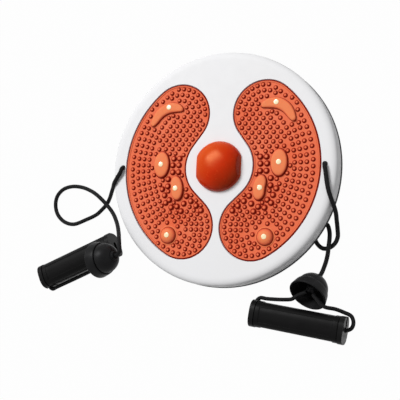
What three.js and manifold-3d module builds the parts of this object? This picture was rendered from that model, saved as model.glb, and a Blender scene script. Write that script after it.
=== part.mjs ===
import * as THREE from 'three';
import { mergeVertices } from 'three/addons/utils/BufferGeometryUtils.js';
import Module from 'manifold-3d';

// Overall size, millimetres
const PLATE_RADIUS = 140;
const PLATE_TOP = 31;
const PLATE_WALL_FOOT = 10.2;
const PLATE_SHOULDER_WIDTH = 11;
const PLATE_SHOULDER_DROP = 8;
const PLATE_SKIN = 4.6;
const PLATE_WALL = 3.2;
const PLATE_HUB_RADIUS = 15;
const PLATE_HUB_FOOT = 13.8;
const SHOULDER_STEPS = 4;
const PLATE_FACETS = 48;

// Base plate
const BASE_INSET = 1;
const BASE_RADIUS = PLATE_RADIUS - BASE_INSET;
const BASE_TOP = 9.9;
const BASE_THICKNESS = 3.6;
const BASE_EDGE_ROUND = 0.9;
const BASE_HUB_RADIUS = 14;
const BASE_HUB_TOP = 12;
const BASE_FACETS = 36;

// Ball race
const RACE_RADIUS = 72;
const RACE_BALL_RADIUS = 4;
const RACE_BALLS = 12;
const RACE_RIDGE_HALF = 6.5;
const RACE_GAP = 0.45;
const RACE_MID_HEIGHT = 19;
const RACE_WEB = 1;
const GROOVE_STEPS = 4;
const CAGE_HALF_WIDTH = 8;
const CAGE_THICKNESS = 2;
const CAGE_CLEAR = 0.35;
const CAGE_FACETS = 28;
const CAGE_HOLE_SIDES = 10;
const RACE_BALL_SIDES = 8;

// Feet
const FEET = 6;
const FOOT_INSET = 35;
const FOOT_CIRCLE = BASE_RADIUS - FOOT_INSET;
const FOOT_RADIUS = 10;
const FOOT_NECK_RADIUS = 4;
const FOOT_NECK_DEPTH = 2;
const FOOT_ROUND = 1.2;
const FOOT_FACETS = 16;
const CENTRE_FOOT_RADIUS = 17;
const CENTRE_FOOT_FLOOR = 1.8;
const CENTRE_FOOT_FACETS = 24;

// Pivot
const BOLT_RADIUS = 4;
const BOLT_CLEAR = 0.3;
const BOLT_FACETS = 18;
const BOLT_HEAD_ROUND = 0.8;
const BOLT_HEAD_RADIUS = 7;
const BOLT_HEAD_HEIGHT = 4;
const WASHER_RADIUS = 10;
const WASHER_THICKNESS = 1.2;
const NUT_RADIUS = 6.5;
const NUT_HEIGHT = 2.9;
const NUT_SIDES = 6;
const NUT_POCKET_RADIUS = 8;
const SEAT = 0.3;

// Pads
const PAD_RIM_WIDTH = 18.3;
const PAD_OUTER_RADIUS = PLATE_RADIUS - PAD_RIM_WIDTH;
const PAD_INNER_RADIUS = 42;
const LOBE_SHIFT = 1.15;
const LOBE_CIRCLE = (PAD_OUTER_RADIUS + PAD_INNER_RADIUS) / 2 + LOBE_SHIFT;
const LOBE_LOW_ANGLE = -59.15 * Math.PI / 180;
const LOBE_UP_ANGLE = 49.8 * Math.PI / 180;
const PAD_RECESS = 2.4;
const PAD_SIDE_GAP = 0.35;
const PAD_FACE = 30.2;
const PEG_RADIUS = 2.6;
const PEG_TAPER = 0.78;
const PEG_HEIGHT = 1.9;
const PEG_BITE = 0.4;
const BIG_PEG_RADIUS = 3;
const BIG_PEG_HEIGHT = 2.8;
const PEG_SIDES = 5;
const PAD_CURVE_STEPS = 11;
const PEG_ROW_INSET = 9;
const PEG_ROW_PITCH = 10.9;
const PEG_SPACING = 11;
const PEG_ROW_FROM = -66;
const PEG_ROW_TO = 60;
const PEG_EDGE = 6.5;
const PEG_ISLAND_CLEAR = 0.8;
const BIG_PEG_CLEAR = 1.2;
// Big pegs, as the way out from the pad's inner radius and the place along Y
const BIG_PEG_PLACES = [
  [8, 11], [15.5, 11], [9, 3], [17, 3], [9, -6], [16, -6], [21, -14], [21, -23],
  [28, -26], [25, -34], [22, -42], [15, -48], [-3, -35], [-9, -41], [-16, -46.5], [-22.5, -52],
  [0, -44], [8, -49],
];
const BIG_PEGS = BIG_PEG_PLACES.map(([out, along]) => [PAD_INNER_RADIUS + out, along]);

// Islands on the pads and the magnets in them
const MAGNET_RADIUS = 3.1;
const MAGNET_THICKNESS = 2;
const MAGNET_STAND = 0.5;
const MAGNET_GAP = 0.3;
const MAGNET_SIDES = 12;
const MIDDLE_OVAL_OUT = 30.3;
const MIDDLE_OVAL = {
  x: PAD_INNER_RADIUS + MIDDLE_OVAL_OUT, y: 4, halfX: 9.5, halfY: 16, turn: 0, height: 4.2, magnet: [1.2, -0.5],
};
const INSTEP_BEAN_OUT = 9.5;
const INSTEP_BEAN = {
  x: PAD_INNER_RADIUS + INSTEP_BEAN_OUT, y: -25, halfX: 7.8, halfY: 13.5, turn: -12, height: 4.8, magnet: [1, -1],
};
const HEEL_KNOB_IN = 23;
const HEEL_KNOB_RISE = 1;
const HEEL_KNOB_RADIUS = 11.3;
const HEEL_KNOB = {
  x: LOBE_CIRCLE - HEEL_KNOB_IN,
  y: HEEL_KNOB_RISE - LOBE_CIRCLE,
  halfX: HEEL_KNOB_RADIUS,
  halfY: HEEL_KNOB_RADIUS,
  turn: 0,
  height: 5.2,
  magnet: [0, 0],
};
const TOE_INSETS = [[33.5, 12.5], [25.5, 9.4], [15.5, 9], [5.5, 13.4], [-4, 27.5]];
const TOE_MAGNET_INSET = [15.5, 9.2];
const inFromLobe = ([x, y]) => [LOBE_CIRCLE - x, LOBE_CIRCLE - y];
const TOE_LINE = TOE_INSETS.map(inFromLobe);
const TOE_MAGNET = inFromLobe(TOE_MAGNET_INSET);
const TOE_HALF_WIDTHS = [4, 6, 6.2, 5.6, 3.4];
const TOE_HEIGHT = 3.4;
const ISLAND_STEPS = 2;
const TOE_STEPS = 12;
const TOE_TIP_POWER = 6;
const TOE_ROUND = 1.3;
const ISLAND_CROWN_SHARE = 0.55;
const ISLAND_CROWN_INSET_SHARE = 0.3;
const ISLAND_SIDES = 16;

// Centre dome
const DOME_RADIUS = 30;
const DOME_FLAT = 27.8;
const DOME_FLAT_LEAN = 19.8 * Math.PI / 180;
const DOME_HEIGHT = 15.5;
const DOME_WALL = 4.2;
const DOME_FULLNESS = 0.85;
const DOME_STEPS = 5;
const DOME_FACETS = 28;

// Cords
const CORD_DIAMETER = 5;
const CORD_SIDES = 10;
const CORD_HOLE_INSET = 14;
const CORD_HOLE_X = PLATE_RADIUS - CORD_HOLE_INSET;
const CORD_HOLE_Y = 0.7;
const CORD_HOLE_RADIUS = 3.1;
const CORD_HOLE_SIDES = 14;
const CORD_STEPS_LEFT = 54;
const CORD_STEPS_RIGHT = 46;
const CORD_LEAD = 3;
const KNOT_SIDES = 9;
const KNOT_RADIUS = 5.6;
const CORD_LEFT_ROUTE = [
  [-126, 0.7, 25.2], [-126, 0.7, 31.5], [-126.4, -1.6, 34.3], [-127.8, -5.7, 34.4], [-132.3, -12.6, 33.6],
  [-136, -18.2, 32.4], [-141.6, -22.7, 24.5], [-147.9, -28.4, 16.5], [-153.8, -33.6, 9], [-161.3, -41, 2.8],
  [-168.5, -48.7, 2.6], [-175, -54.2, 2.6], [-190, -61, 2.6], [-208, -67, 2.6], [-222, -64, 2.6],
  [-233, -54.5, 2.6], [-237.5, -42, 2.6], [-236, -30.5, 2.6], [-228, -21.5, 2.6], [-215, -17.5, 2.6],
  [-200, -18.5, 2.6], [-184, -24, 4.6], [-171, -31.3, 8.2], [-158, -42, 9.2], [-146, -53, 13.5],
  [-131.6, -67.5, 27], [-120.4, -80, 42], [-114.2, -88.5, 51.5], [-110.3, -96.5, 57], [-108.2, -103.6, 59.6],
];
const CORD_RIGHT_ROUTE = [
  [126, 0.7, 25.2], [126, 0.7, 31.5], [126.3, -1.6, 34.3], [127.6, -8, 34.4], [129, -17, 34.3],
  [130.9, -27, 34.2], [133.4, -36, 32], [136, -44.5, 26.8], [137, -52, 18.5], [136.4, -60, 9.5],
  [136.4, -68.5, 4], [136.6, -78, 2.6], [133.6, -85.2, 2.6], [127.6, -90.2, 2.6], [120.5, -91.2, 2.6],
  [114.5, -87.2, 2.6], [110.6, -80, 2.6], [110.6, -72, 2.6], [113.5, -64.5, 2.6], [119, -61.5, 2.6],
  [124.5, -64.5, 2.6], [127.3, -72, 3.6], [128.3, -80, 6.6], [127.8, -90, 8.4], [126.6, -98.2, 6.2],
  [124.4, -106, 3.6], [122.3, -112, 2.7], [120.3, -117.6, 2.9],
];

// Bell-shaped covers
const COVER_CAP_RADIUS = 18.3;
const COVER_WALL = 2.2;
const COVER_CAP_SEAM = 1.45;
// Skirt outline, as the way out from the cap's radius and the height over the seam
const COVER_SKIRT_LINE = [
  [-1.7, 0.95], [1.2, 0.95], [2.3, -3], [3.2, -7], [3.7, -10.3], [1.5, -10.3], [1, -7], [0.1, -3],
];
const COVER_SKIRT = COVER_SKIRT_LINE.map(([out, height]) => [COVER_CAP_RADIUS + out, height]);
const COVER_COLLAR_RADIUS = 5.4;
const COVER_COLLAR_HEIGHT = 1.6;
const COVER_HOLE_RADIUS = 2.9;
const COVER_FACETS = 22;
const COVER_RINGS = 4;
const COVER_KNOT_RADIUS = 6.5;
const COVER_LEFT_INSET = 7.56;
const COVER_LEFT_RISE = 20.69;
const COVER_LEFT = [COVER_LEFT_INSET - PLATE_RADIUS, -112.94, PLATE_TOP + COVER_LEFT_RISE];
const COVER_RIGHT_INSET = 2.2;
const COVER_RIGHT = [112.4, COVER_RIGHT_INSET - PLATE_RADIUS, 18.7];
const COVER_LEFT_AXIS = [0.935, 0.19, 0.3];
const COVER_RIGHT_AXIS = [0.27, 0.715, -0.645];

// Bar grips
const GRIP_LENGTH = 107;
const GRIP_HALF = 15;
const GRIP_SQUARENESS = 2.8;
const GRIP_SIDES = 24;
const GRIP_BORE_RADIUS = 8.5;
const GRIP_BORE_SIDES = 14;
const COLLAR_HOLE_SIDES = 12;
const COLLAR_LENGTH = 5.6;
const COLLAR_STEP = 0.5;
const GRIP_LIFT = 0.1;
const GRIP_REST = GRIP_HALF + COLLAR_STEP + GRIP_LIFT;
const COLLAR_HOLE_RADIUS = 3.2;
const COLLAR_GAP = 0.3;
const PANEL_LENGTH = 84;
const PANEL_WIDTH = 17;
const PANEL_DEPTH = 0.7;
const PANELS = 4;
const STRAP_DIAMETER = 4.4;
const STRAP_SIDES = 8;
const STRAP_STEPS = 46;
const GRIP_RIGHT_OUT = 34.3;
const GRIP_RIGHT = { x: 97.6, y: -PLATE_RADIUS - GRIP_RIGHT_OUT, turn: -7.4 };
const GRIP_LEFT_OUT = 47;
const GRIP_LEFT = { x: -PLATE_RADIUS - GRIP_LEFT_OUT, y: -115.4, turn: 24.5 };
const RIGHT_STRAND_FAR = [[180, 4.8, -4.8], [180, 13.5, -9.6], [180, 20, -13.5], [178, 24.5, -13.2]];
const RIGHT_STRAND_NEAR = [[20, 24.5, -13.2], [20, 20, -13.5], [20, 13.5, -9.6], [20, 4.8, -4.8]];
const RIGHT_STRAP_ROUTE = [
  [-25, 20, 21.5], [-40, 18.8, 17.6], [-47.6, 18.2, 15.9], [-51.2, 14, 15.6], [-51.2, 7, 15.6],
  [-45, 0.3, 15.6], [-20, 0, 15.6], [20, 0, 15.6], [46, 0, 15.6], [54, 0.4, 15.6], [59.5, 3.8, 15.6],
  [60.8, 10, 15.6], [57.5, 16.6, 15.6], [49, 19.4, 15.8], [40, 20.8, 17.4],
];
const LEFT_STRAND_FAR = [[0, 2.5, -6.3], [0, 4, -11], [0, 5, -16]];
const LEFT_STRAND_NEAR = [[90, 24.5, -13.5], [90, 20, -13.5], [90, 13, -9.2], [90, 5.2, -4.4]];
const LEFT_STRAP_ROUTE = [
  [31, 21, 40], [28.5, 19.6, 30], [25, 18.6, 21], [15, 18.1, 15.5], [-15, 17.9, 13.5], [-43, 18.1, 14.8],
  [-48, 18.1, 15.4], [-51.2, 14, 15.6], [-51.2, 7, 15.6], [-45, 0.3, 15.6], [-20, 0, 15.6], [20, 0, 15.6],
  [45, 0.3, 15.6], [50.9, 6, 15.6], [51, 13, 15.8], [50, 18, 17.6],
];
const WELD = 0.0001;

const wasm = await Module();
wasm.setup();

// Closed solid from any three.js geometry, wound outwards
function solid(geometry) {
  const bare = geometry.index ? geometry.toNonIndexed() : geometry.clone();
  bare.deleteAttribute('normal');
  bare.deleteAttribute('uv');
  const merged = mergeVertices(bare, WELD);
  const points = merged.attributes.position.array;
  const corners = merged.index.array;
  const kept = [];
  let volume = 0;
  for (let i = 0; i < corners.length; i += 3) {
    const [a, b, c] = [corners[i], corners[i + 1], corners[i + 2]];
    if (a === b || b === c || c === a) continue;
    kept.push(a, b, c);
    const pa = new THREE.Vector3().fromArray(points, a * 3);
    const pb = new THREE.Vector3().fromArray(points, b * 3);
    const pc = new THREE.Vector3().fromArray(points, c * 3);
    volume += pa.dot(pb.cross(pc));
  }
  if (volume < 0) kept.reverse();
  const mesh = new wasm.Mesh({
    numProp: 3,
    vertProperties: new Float32Array(points),
    triVerts: new Uint32Array(kept),
  });
  return new wasm.Manifold(mesh);
}

// Geometry from a closed solid
function surface(body) {
  const mesh = body.getMesh();
  const geometry = new THREE.BufferGeometry();
  geometry.setAttribute('position', new THREE.BufferAttribute(new Float32Array(mesh.vertProperties), 3));
  geometry.setIndex(new THREE.BufferAttribute(new Uint32Array(mesh.triVerts), 1));
  geometry.computeVertexNormals();
  return geometry;
}

// Round body about Z from a closed profile of [radius, height] pairs
function turned(profile, facets) {
  const geometry = new THREE.LatheGeometry(profile.map(([r, z]) => new THREE.Vector2(r, z)), facets);
  geometry.rotateX(Math.PI / 2);
  return solid(geometry);
}

// Upright cylinder from one height to another
function post(radius, from, to, sides, topRadius = radius) {
  const geometry = new THREE.CylinderGeometry(topRadius, radius, to - from, sides);
  geometry.rotateX(Math.PI / 2);
  geometry.translate(0, 0, (from + to) / 2);
  return geometry;
}

// Flat outline raised from one height to another
function slab(shape, from, to) {
  const geometry = new THREE.ExtrudeGeometry(shape, {
    depth: to - from,
    bevelEnabled: false,
    curveSegments: PAD_CURVE_STEPS,
  });
  geometry.translate(0, 0, from);
  return geometry;
}

// Round cord along a list of points
function cordBody(route, diameter, sides, steps) {
  const outline = [];
  for (let i = 0; i < sides; i += 1) {
    const angle = (2 * Math.PI * i) / sides;
    outline.push(new THREE.Vector2(Math.cos(angle) * diameter / 2, Math.sin(angle) * diameter / 2));
  }
  const curve = new THREE.CatmullRomCurve3(route.map((p) => new THREE.Vector3(...p)), false, 'centripetal');
  const geometry = new THREE.ExtrudeGeometry(new THREE.Shape(outline), {
    steps,
    extrudePath: curve,
    bevelEnabled: false,
  });
  return surface(solid(geometry));
}

// Circle arc as [radius, height] pairs about a centre
function arc(centreR, centreZ, radius, fromAngle, toAngle, steps) {
  const points = [];
  for (let i = 0; i <= steps; i += 1) {
    const angle = fromAngle + ((toAngle - fromAngle) * i) / steps;
    points.push([centreR + radius * Math.cos(angle), centreZ + radius * Math.sin(angle)]);
  }
  return points;
}

// Groove for the race balls, from one side of the ridge to the other
function groove(faceHeight, up) {
  const radius = RACE_BALL_RADIUS + RACE_GAP;
  const rise = faceHeight - RACE_MID_HEIGHT;
  const half = Math.acos(Math.min(1, Math.abs(rise) / radius));
  const middle = up ? Math.PI / 2 : -Math.PI / 2;
  const sign = up ? 1 : -1;
  return arc(RACE_RADIUS, RACE_MID_HEIGHT, radius, middle - sign * half, middle + sign * half, GROOVE_STEPS);
}

// Foot pad outline, grown outwards by a clearance
function padShape(grow) {
  const inner = PAD_INNER_RADIUS - grow;
  const lobe = PAD_OUTER_RADIUS - LOBE_CIRCLE + grow;
  const slant = Math.acos((inner + lobe) / LOBE_CIRCLE);
  const low = LOBE_LOW_ANGLE;
  const up = LOBE_UP_ANGLE;
  const shape = new THREE.Shape();
  shape.absarc(0, 0, PAD_OUTER_RADIUS + grow, low, up, false);
  shape.absarc(LOBE_CIRCLE * Math.cos(up), LOBE_CIRCLE * Math.sin(up), lobe, up, up - slant + Math.PI, false);
  shape.absarc(0, 0, inner, up - slant, low + slant, true);
  const lowEnd = low + 2 * Math.PI;
  shape.absarc(LOBE_CIRCLE * Math.cos(low), LOBE_CIRCLE * Math.sin(low), lobe, low + slant + Math.PI, lowEnd, false);
  return shape;
}

// Whether a point lies well inside the pad outline
function insidePad(x, y, edge) {
  const r = Math.hypot(x, y);
  if (r > PAD_OUTER_RADIUS - edge || r < PAD_INNER_RADIUS + edge) return false;
  const angle = Math.atan2(y, x);
  if (angle > LOBE_LOW_ANGLE && angle < LOBE_UP_ANGLE) return true;
  const near = angle < 0 ? LOBE_LOW_ANGLE : LOBE_UP_ANGLE;
  const gap = Math.hypot(x - LOBE_CIRCLE * Math.cos(near), y - LOBE_CIRCLE * Math.sin(near));
  return gap < PAD_OUTER_RADIUS - LOBE_CIRCLE - edge;
}

// Whether a point is clear of every island and big peg
function clearOfIslands(x, y) {
  for (const island of [MIDDLE_OVAL, INSTEP_BEAN, HEEL_KNOB]) {
    const reach = PEG_RADIUS + PEG_ISLAND_CLEAR;
    const share = Math.hypot((x - island.x) / (island.halfX + reach), (y - island.y) / (island.halfY + reach));
    if (share < 1) return false;
  }
  for (let i = 0; i < TOE_LINE.length; i += 1) {
    const [tx, ty] = TOE_LINE[i];
    if (Math.hypot(x - tx, y - ty) < TOE_HALF_WIDTHS[i] + PEG_RADIUS + PEG_ISLAND_CLEAR) return false;
  }
  const apart = PEG_RADIUS + BIG_PEG_RADIUS + BIG_PEG_CLEAR;
  return BIG_PEGS.every(([bigX, bigY]) => Math.hypot(x - bigX, y - bigY) > apart);
}

// Rounded oval island standing in the pad
function ovalIsland(island) {
  const top = PAD_FACE + island.height;
  const crown = island.height * (1 - ISLAND_CROWN_SHARE);
  const profile = [[0, PLATE_TOP - PAD_RECESS + SEAT * 2], [1, PLATE_TOP - PAD_RECESS + SEAT * 2]];
  for (let i = 0; i <= ISLAND_STEPS; i += 1) {
    const angle = (Math.PI / 2) * (i / ISLAND_STEPS);
    const inset = 1 - ISLAND_CROWN_INSET_SHARE * (1 - Math.cos(angle));
    profile.push([inset, top - crown + crown * Math.sin(angle)]);
  }
  profile.push([0, top]);
  const geometry = new THREE.LatheGeometry(profile.map(([r, z]) => new THREE.Vector2(r, z)), ISLAND_SIDES);
  geometry.rotateX(Math.PI / 2);
  geometry.scale(island.halfX, island.halfY, 1);
  geometry.rotateZ(island.turn * Math.PI / 180);
  geometry.translate(island.x, island.y, 0);
  return solid(geometry);
}

// Crescent outline under the toes, drawn in by an inset
function toeShape(inset) {
  const line = new THREE.CatmullRomCurve3(TOE_LINE.map(([x, y]) => new THREE.Vector3(x, y, 0)));
  const widths = new THREE.CatmullRomCurve3(TOE_HALF_WIDTHS.map((w, i) => new THREE.Vector3(w, i, 0)));
  const trim = inset / line.getLength();
  const upper = [];
  const lower = [];
  for (let i = 0; i <= TOE_STEPS; i += 1) {
    const across = -Math.cos((Math.PI * i) / TOE_STEPS);
    const share = trim + ((1 - 2 * trim) * (across + 1)) / 2;
    const at = line.getPoint(share);
    const along = line.getTangent(share);
    const half = (widths.getPoint(share).x - inset) * Math.sqrt(Math.max(0, 1 - Math.abs(across) ** TOE_TIP_POWER));
    upper.push(new THREE.Vector2(at.x - along.y * half, at.y + along.x * half));
    if (i > 0 && i < TOE_STEPS) lower.push(new THREE.Vector2(at.x + along.y * half, at.y - along.x * half));
  }
  return new THREE.Shape(upper.concat(lower.reverse()));
}

// Crescent island under the toes, with a stepped-in crown
function toeIsland() {
  const foot = PLATE_TOP - PAD_RECESS + SEAT * 2;
  const top = PAD_FACE + TOE_HEIGHT;
  const body = solid(slab(toeShape(0), foot, top - TOE_ROUND));
  return body.add(solid(slab(toeShape(TOE_ROUND), foot, top)));
}

// Magnet of an island, as centre and island top
function islandMagnet(island) {
  return [island.x + island.magnet[0], island.y + island.magnet[1], PAD_FACE + island.height];
}

// Every magnet as centre and island top
const MAGNETS = {
  toe: [...TOE_MAGNET, PAD_FACE + TOE_HEIGHT],
  middle: islandMagnet(MIDDLE_OVAL),
  instep: islandMagnet(INSTEP_BEAN),
  heel: islandMagnet(HEEL_KNOB),
};

// Right foot pad with its pegs, islands and magnet pockets
function padSolid() {
  let pad = solid(slab(padShape(0), PLATE_TOP - PAD_RECESS + SEAT, PAD_FACE));
  pad = pad.add(toeIsland());
  for (const island of [MIDDLE_OVAL, INSTEP_BEAN, HEEL_KNOB]) pad = pad.add(ovalIsland(island));
  const pegs = [];
  const lastRow = PAD_INNER_RADIUS + PEG_EDGE;
  for (let radius = PAD_OUTER_RADIUS - PEG_ROW_INSET; radius > lastRow; radius -= PEG_ROW_PITCH) {
    const step = (PEG_SPACING / radius) * (180 / Math.PI);
    for (let angle = PEG_ROW_FROM; angle <= PEG_ROW_TO; angle += step) {
      const x = radius * Math.cos(angle * Math.PI / 180);
      const y = radius * Math.sin(angle * Math.PI / 180);
      if (insidePad(x, y, PEG_EDGE) && clearOfIslands(x, y)) pegs.push([x, y, PEG_RADIUS, PEG_HEIGHT]);
    }
  }
  for (const [x, y] of BIG_PEGS) pegs.push([x, y, BIG_PEG_RADIUS, BIG_PEG_HEIGHT]);
  for (const [x, y, radius, height] of pegs) {
    const peg = post(radius, PAD_FACE - PEG_BITE, PAD_FACE + height, PEG_SIDES, radius * PEG_TAPER);
    peg.translate(x, y, 0);
    pad = pad.add(solid(peg));
  }
  for (const [x, y, top] of Object.values(MAGNETS)) {
    const floor = top + MAGNET_STAND - MAGNET_THICKNESS - MAGNET_GAP;
    const pocket = post(MAGNET_RADIUS + MAGNET_GAP, floor, top + MAGNET_THICKNESS, MAGNET_SIDES);
    pocket.translate(x, y, 0);
    pad = pad.subtract(solid(pocket));
  }
  return pad;
}

// Box cutter centred on a point
function block(sizeX, sizeY, sizeZ, x, y, z) {
  const geometry = new THREE.BoxGeometry(sizeX, sizeY, sizeZ);
  geometry.translate(x, y, z);
  return solid(geometry);
}

// Rounded square outline of the bar grip
function gripShape(half) {
  const points = [];
  for (let i = 0; i < GRIP_SIDES; i += 1) {
    const angle = (2 * Math.PI * (i + 0.5)) / GRIP_SIDES;
    const c = Math.cos(angle);
    const s = Math.sin(angle);
    const power = 2 / GRIP_SQUARENESS;
    points.push(new THREE.Vector2(
      half * Math.sign(c) * Math.abs(c) ** power,
      half * Math.sign(s) * Math.abs(s) ** power,
    ));
  }
  return new THREE.Shape(points);
}

// Bar grip between its collars, lying along X
const GRIP_BODY_LENGTH = GRIP_LENGTH - 2 * (COLLAR_LENGTH + COLLAR_GAP);
function gripBody() {
  const geometry = slab(gripShape(GRIP_HALF), -GRIP_BODY_LENGTH / 2, GRIP_BODY_LENGTH / 2);
  const bore = post(GRIP_BORE_RADIUS, -GRIP_BODY_LENGTH, GRIP_BODY_LENGTH, GRIP_BORE_SIDES);
  geometry.rotateY(Math.PI / 2);
  bore.rotateY(Math.PI / 2);
  let body = solid(geometry).subtract(solid(bore));
  for (let i = 0; i < PANELS; i += 1) {
    const cutter = new THREE.BoxGeometry(PANEL_LENGTH, PANEL_WIDTH, 2 * PANEL_DEPTH);
    cutter.translate(0, 0, GRIP_HALF);
    cutter.rotateX((2 * Math.PI * i) / PANELS);
    body = body.subtract(solid(cutter));
  }
  return body;
}

// Grip collar at one end, with the slot the strap leaves by
function gripCollar(end, strapSide) {
  const from = GRIP_BODY_LENGTH / 2 + COLLAR_GAP;
  const geometry = slab(gripShape(GRIP_HALF + COLLAR_STEP), from, from + COLLAR_LENGTH);
  const bore = post(COLLAR_HOLE_RADIUS, from - COLLAR_LENGTH, from + 2 * COLLAR_LENGTH, COLLAR_HOLE_SIDES);
  geometry.rotateY((end * Math.PI) / 2);
  bore.rotateY((end * Math.PI) / 2);
  const reach = GRIP_HALF + 2 * COLLAR_STEP;
  const middle = end * (GRIP_LENGTH - COLLAR_LENGTH) / 2;
  const slot = block(2 * COLLAR_LENGTH, reach, 2 * COLLAR_HOLE_RADIUS, middle, strapSide * reach / 2, 0);
  return solid(geometry).subtract(solid(bore)).subtract(slot);
}

// Placing of one bell-shaped cover, and points about its axis
function coverFrame(centre, axis) {
  const b = new THREE.Vector3(...axis).normalize();
  const c = new THREE.Vector3(...centre);
  const u = new THREE.Vector3(0, 0, 1).cross(b).negate().normalize();
  const v = b.clone().cross(u);
  return {
    centre: c,
    turn: new THREE.Quaternion().setFromUnitVectors(new THREE.Vector3(0, 0, 1), b),
    at: ([degrees, radius, height]) => {
      const angle = degrees * Math.PI / 180;
      const point = c.clone().addScaledVector(b, height);
      point.addScaledVector(u, radius * Math.cos(angle)).addScaledVector(v, radius * Math.sin(angle));
      return point.toArray();
    },
  };
}

// Point given in grip terms (along, toward the strap side, height) in the object's frame
function gripPoint(grip, strapSide, [along, side, height]) {
  const angle = grip.turn * Math.PI / 180;
  const x = grip.x + along * Math.cos(angle) - strapSide * side * Math.sin(angle);
  const y = grip.y + along * Math.sin(angle) + strapSide * side * Math.cos(angle);
  return [x, y, height];
}

// Domed cap of a cover with its collar, about its own axis
function coverCap() {
  const inside = COVER_CAP_RADIUS - COVER_WALL;
  const collarFoot = Math.acos(COVER_COLLAR_RADIUS / COVER_CAP_RADIUS);
  const top = COVER_CAP_RADIUS + COVER_COLLAR_HEIGHT;
  const outerSeam = Math.asin(COVER_CAP_SEAM / COVER_CAP_RADIUS);
  const profile = [[COVER_HOLE_RADIUS, top], [COVER_COLLAR_RADIUS, top]];
  profile.push(...arc(0, 0, COVER_CAP_RADIUS, collarFoot, outerSeam, COVER_RINGS));
  const mouth = Math.acos(COVER_HOLE_RADIUS / inside);
  profile.push(...arc(0, 0, inside, Math.asin(COVER_CAP_SEAM / inside), mouth, COVER_RINGS));
  profile.push([COVER_HOLE_RADIUS, top]);
  return turned(profile, COVER_FACETS);
}

// Flared skirt of a cover with its open mouth, about its own axis
function coverSkirt() {
  return turned([...COVER_SKIRT, COVER_SKIRT[0]], COVER_FACETS);
}

// Finishes, one material per piece
function finish(color, roughness, metalness = 0, extra = {}) {
  return new THREE.MeshStandardMaterial({ color, roughness, metalness, ...extra });
}
const object = new THREE.Group();
object.name = 'waist_twisting_disc';
function place(name, geometry, material, parent = object) {
  const mesh = new THREE.Mesh(geometry, material);
  mesh.name = name;
  parent.add(mesh);
  return mesh;
}

// Top plate: skin, shoulder, wall, race ridge and hub, with pad recesses and cord holes
const boltHole = BOLT_RADIUS + BOLT_CLEAR;
const underside = PLATE_TOP - PLATE_SKIN;
const shoulderCentre = [PLATE_RADIUS - PLATE_SHOULDER_WIDTH, PLATE_TOP - PLATE_SHOULDER_DROP];
const plateProfile = [[boltHole, PLATE_TOP]];
for (let i = 0; i <= SHOULDER_STEPS; i += 1) {
  const angle = (Math.PI / 2) * (1 - i / SHOULDER_STEPS);
  plateProfile.push([
    shoulderCentre[0] + PLATE_SHOULDER_WIDTH * Math.cos(angle),
    shoulderCentre[1] + PLATE_SHOULDER_DROP * Math.sin(angle),
  ]);
}
const ridgeUnder = RACE_MID_HEIGHT + CAGE_THICKNESS / 2 + RACE_WEB / 2;
const ridgeOver = RACE_MID_HEIGHT - CAGE_THICKNESS / 2 - RACE_WEB / 2;
const ridgeIn = RACE_RADIUS - RACE_RIDGE_HALF;
const ridgeOut = RACE_RADIUS + RACE_RIDGE_HALF;
const wallInside = PLATE_RADIUS - PLATE_WALL;
plateProfile.push(
  [PLATE_RADIUS, PLATE_WALL_FOOT],
  [wallInside, PLATE_WALL_FOOT],
  [wallInside, shoulderCentre[1]],
  [shoulderCentre[0], underside],
  [ridgeOut, underside],
  [ridgeOut, ridgeUnder],
  ...groove(ridgeUnder, true),
  [ridgeIn, ridgeUnder],
  [ridgeIn, underside],
  [PLATE_HUB_RADIUS, underside],
  [PLATE_HUB_RADIUS, PLATE_HUB_FOOT],
  [boltHole, PLATE_HUB_FOOT],
  [boltHole, PLATE_TOP],
);
let plate = turned(plateProfile, PLATE_FACETS);
const recess = solid(slab(padShape(PAD_SIDE_GAP), PLATE_TOP - PAD_RECESS, PLATE_TOP + PAD_RECESS));
plate = plate.subtract(recess).subtract(recess.mirror([1, 0, 0]));
for (const side of [-1, 1]) {
  const hole = post(CORD_HOLE_RADIUS, underside - PLATE_SKIN, PLATE_TOP + PLATE_SKIN, CORD_HOLE_SIDES);
  hole.translate(side * CORD_HOLE_X, CORD_HOLE_Y, 0);
  plate = plate.subtract(solid(hole));
}
place('top_plate', surface(plate), finish(0xf1f1ef, 0.42));

// Foot pads and their magnets
const padRight = padSolid();
place('pad_right', surface(padRight), finish(0xe8683a, 0.62));
place('pad_left', surface(padRight.mirror([1, 0, 0])), finish(0xe8683a, 0.62));
for (const [sideName, side] of [['left', -1], ['right', 1]]) {
  for (const [spot, [x, y, top]] of Object.entries(MAGNETS)) {
    const geometry = post(MAGNET_RADIUS, top + MAGNET_STAND - MAGNET_THICKNESS, top + MAGNET_STAND, MAGNET_SIDES);
    geometry.translate(side * x, y, 0);
    place(`magnet_${sideName}_${spot}`, surface(solid(geometry)), finish(0xf7e6bf, 0.35));
  }
}

// Centre dome with its two side flats
function domeProfile(radius, height) {
  const points = [];
  for (let i = 0; i <= DOME_STEPS; i += 1) {
    const angle = (Math.PI / 2) * (i / DOME_STEPS);
    const share = Math.cos(angle) ** DOME_FULLNESS;
    points.push([radius * share, PLATE_TOP + SEAT + height * Math.sin(angle)]);
  }
  points[DOME_STEPS][0] = 0;
  return points;
}
const domeOuter = domeProfile(DOME_RADIUS, DOME_HEIGHT);
const domeInner = domeProfile(DOME_RADIUS - DOME_WALL, DOME_HEIGHT - DOME_WALL).reverse();
let dome = turned([...domeInner, ...domeOuter], DOME_FACETS);
const domeSpan = 4 * DOME_RADIUS;
const domeCutter = new THREE.BoxGeometry(domeSpan, domeSpan, domeSpan);
domeCutter.translate(domeSpan / 2, 0, 0);
domeCutter.rotateY(-DOME_FLAT_LEAN);
domeCutter.translate(DOME_FLAT, 0, PLATE_TOP + SEAT);
const domeFlat = solid(domeCutter);
dome = dome.subtract(domeFlat).subtract(domeFlat.mirror([1, 0, 0]));
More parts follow.
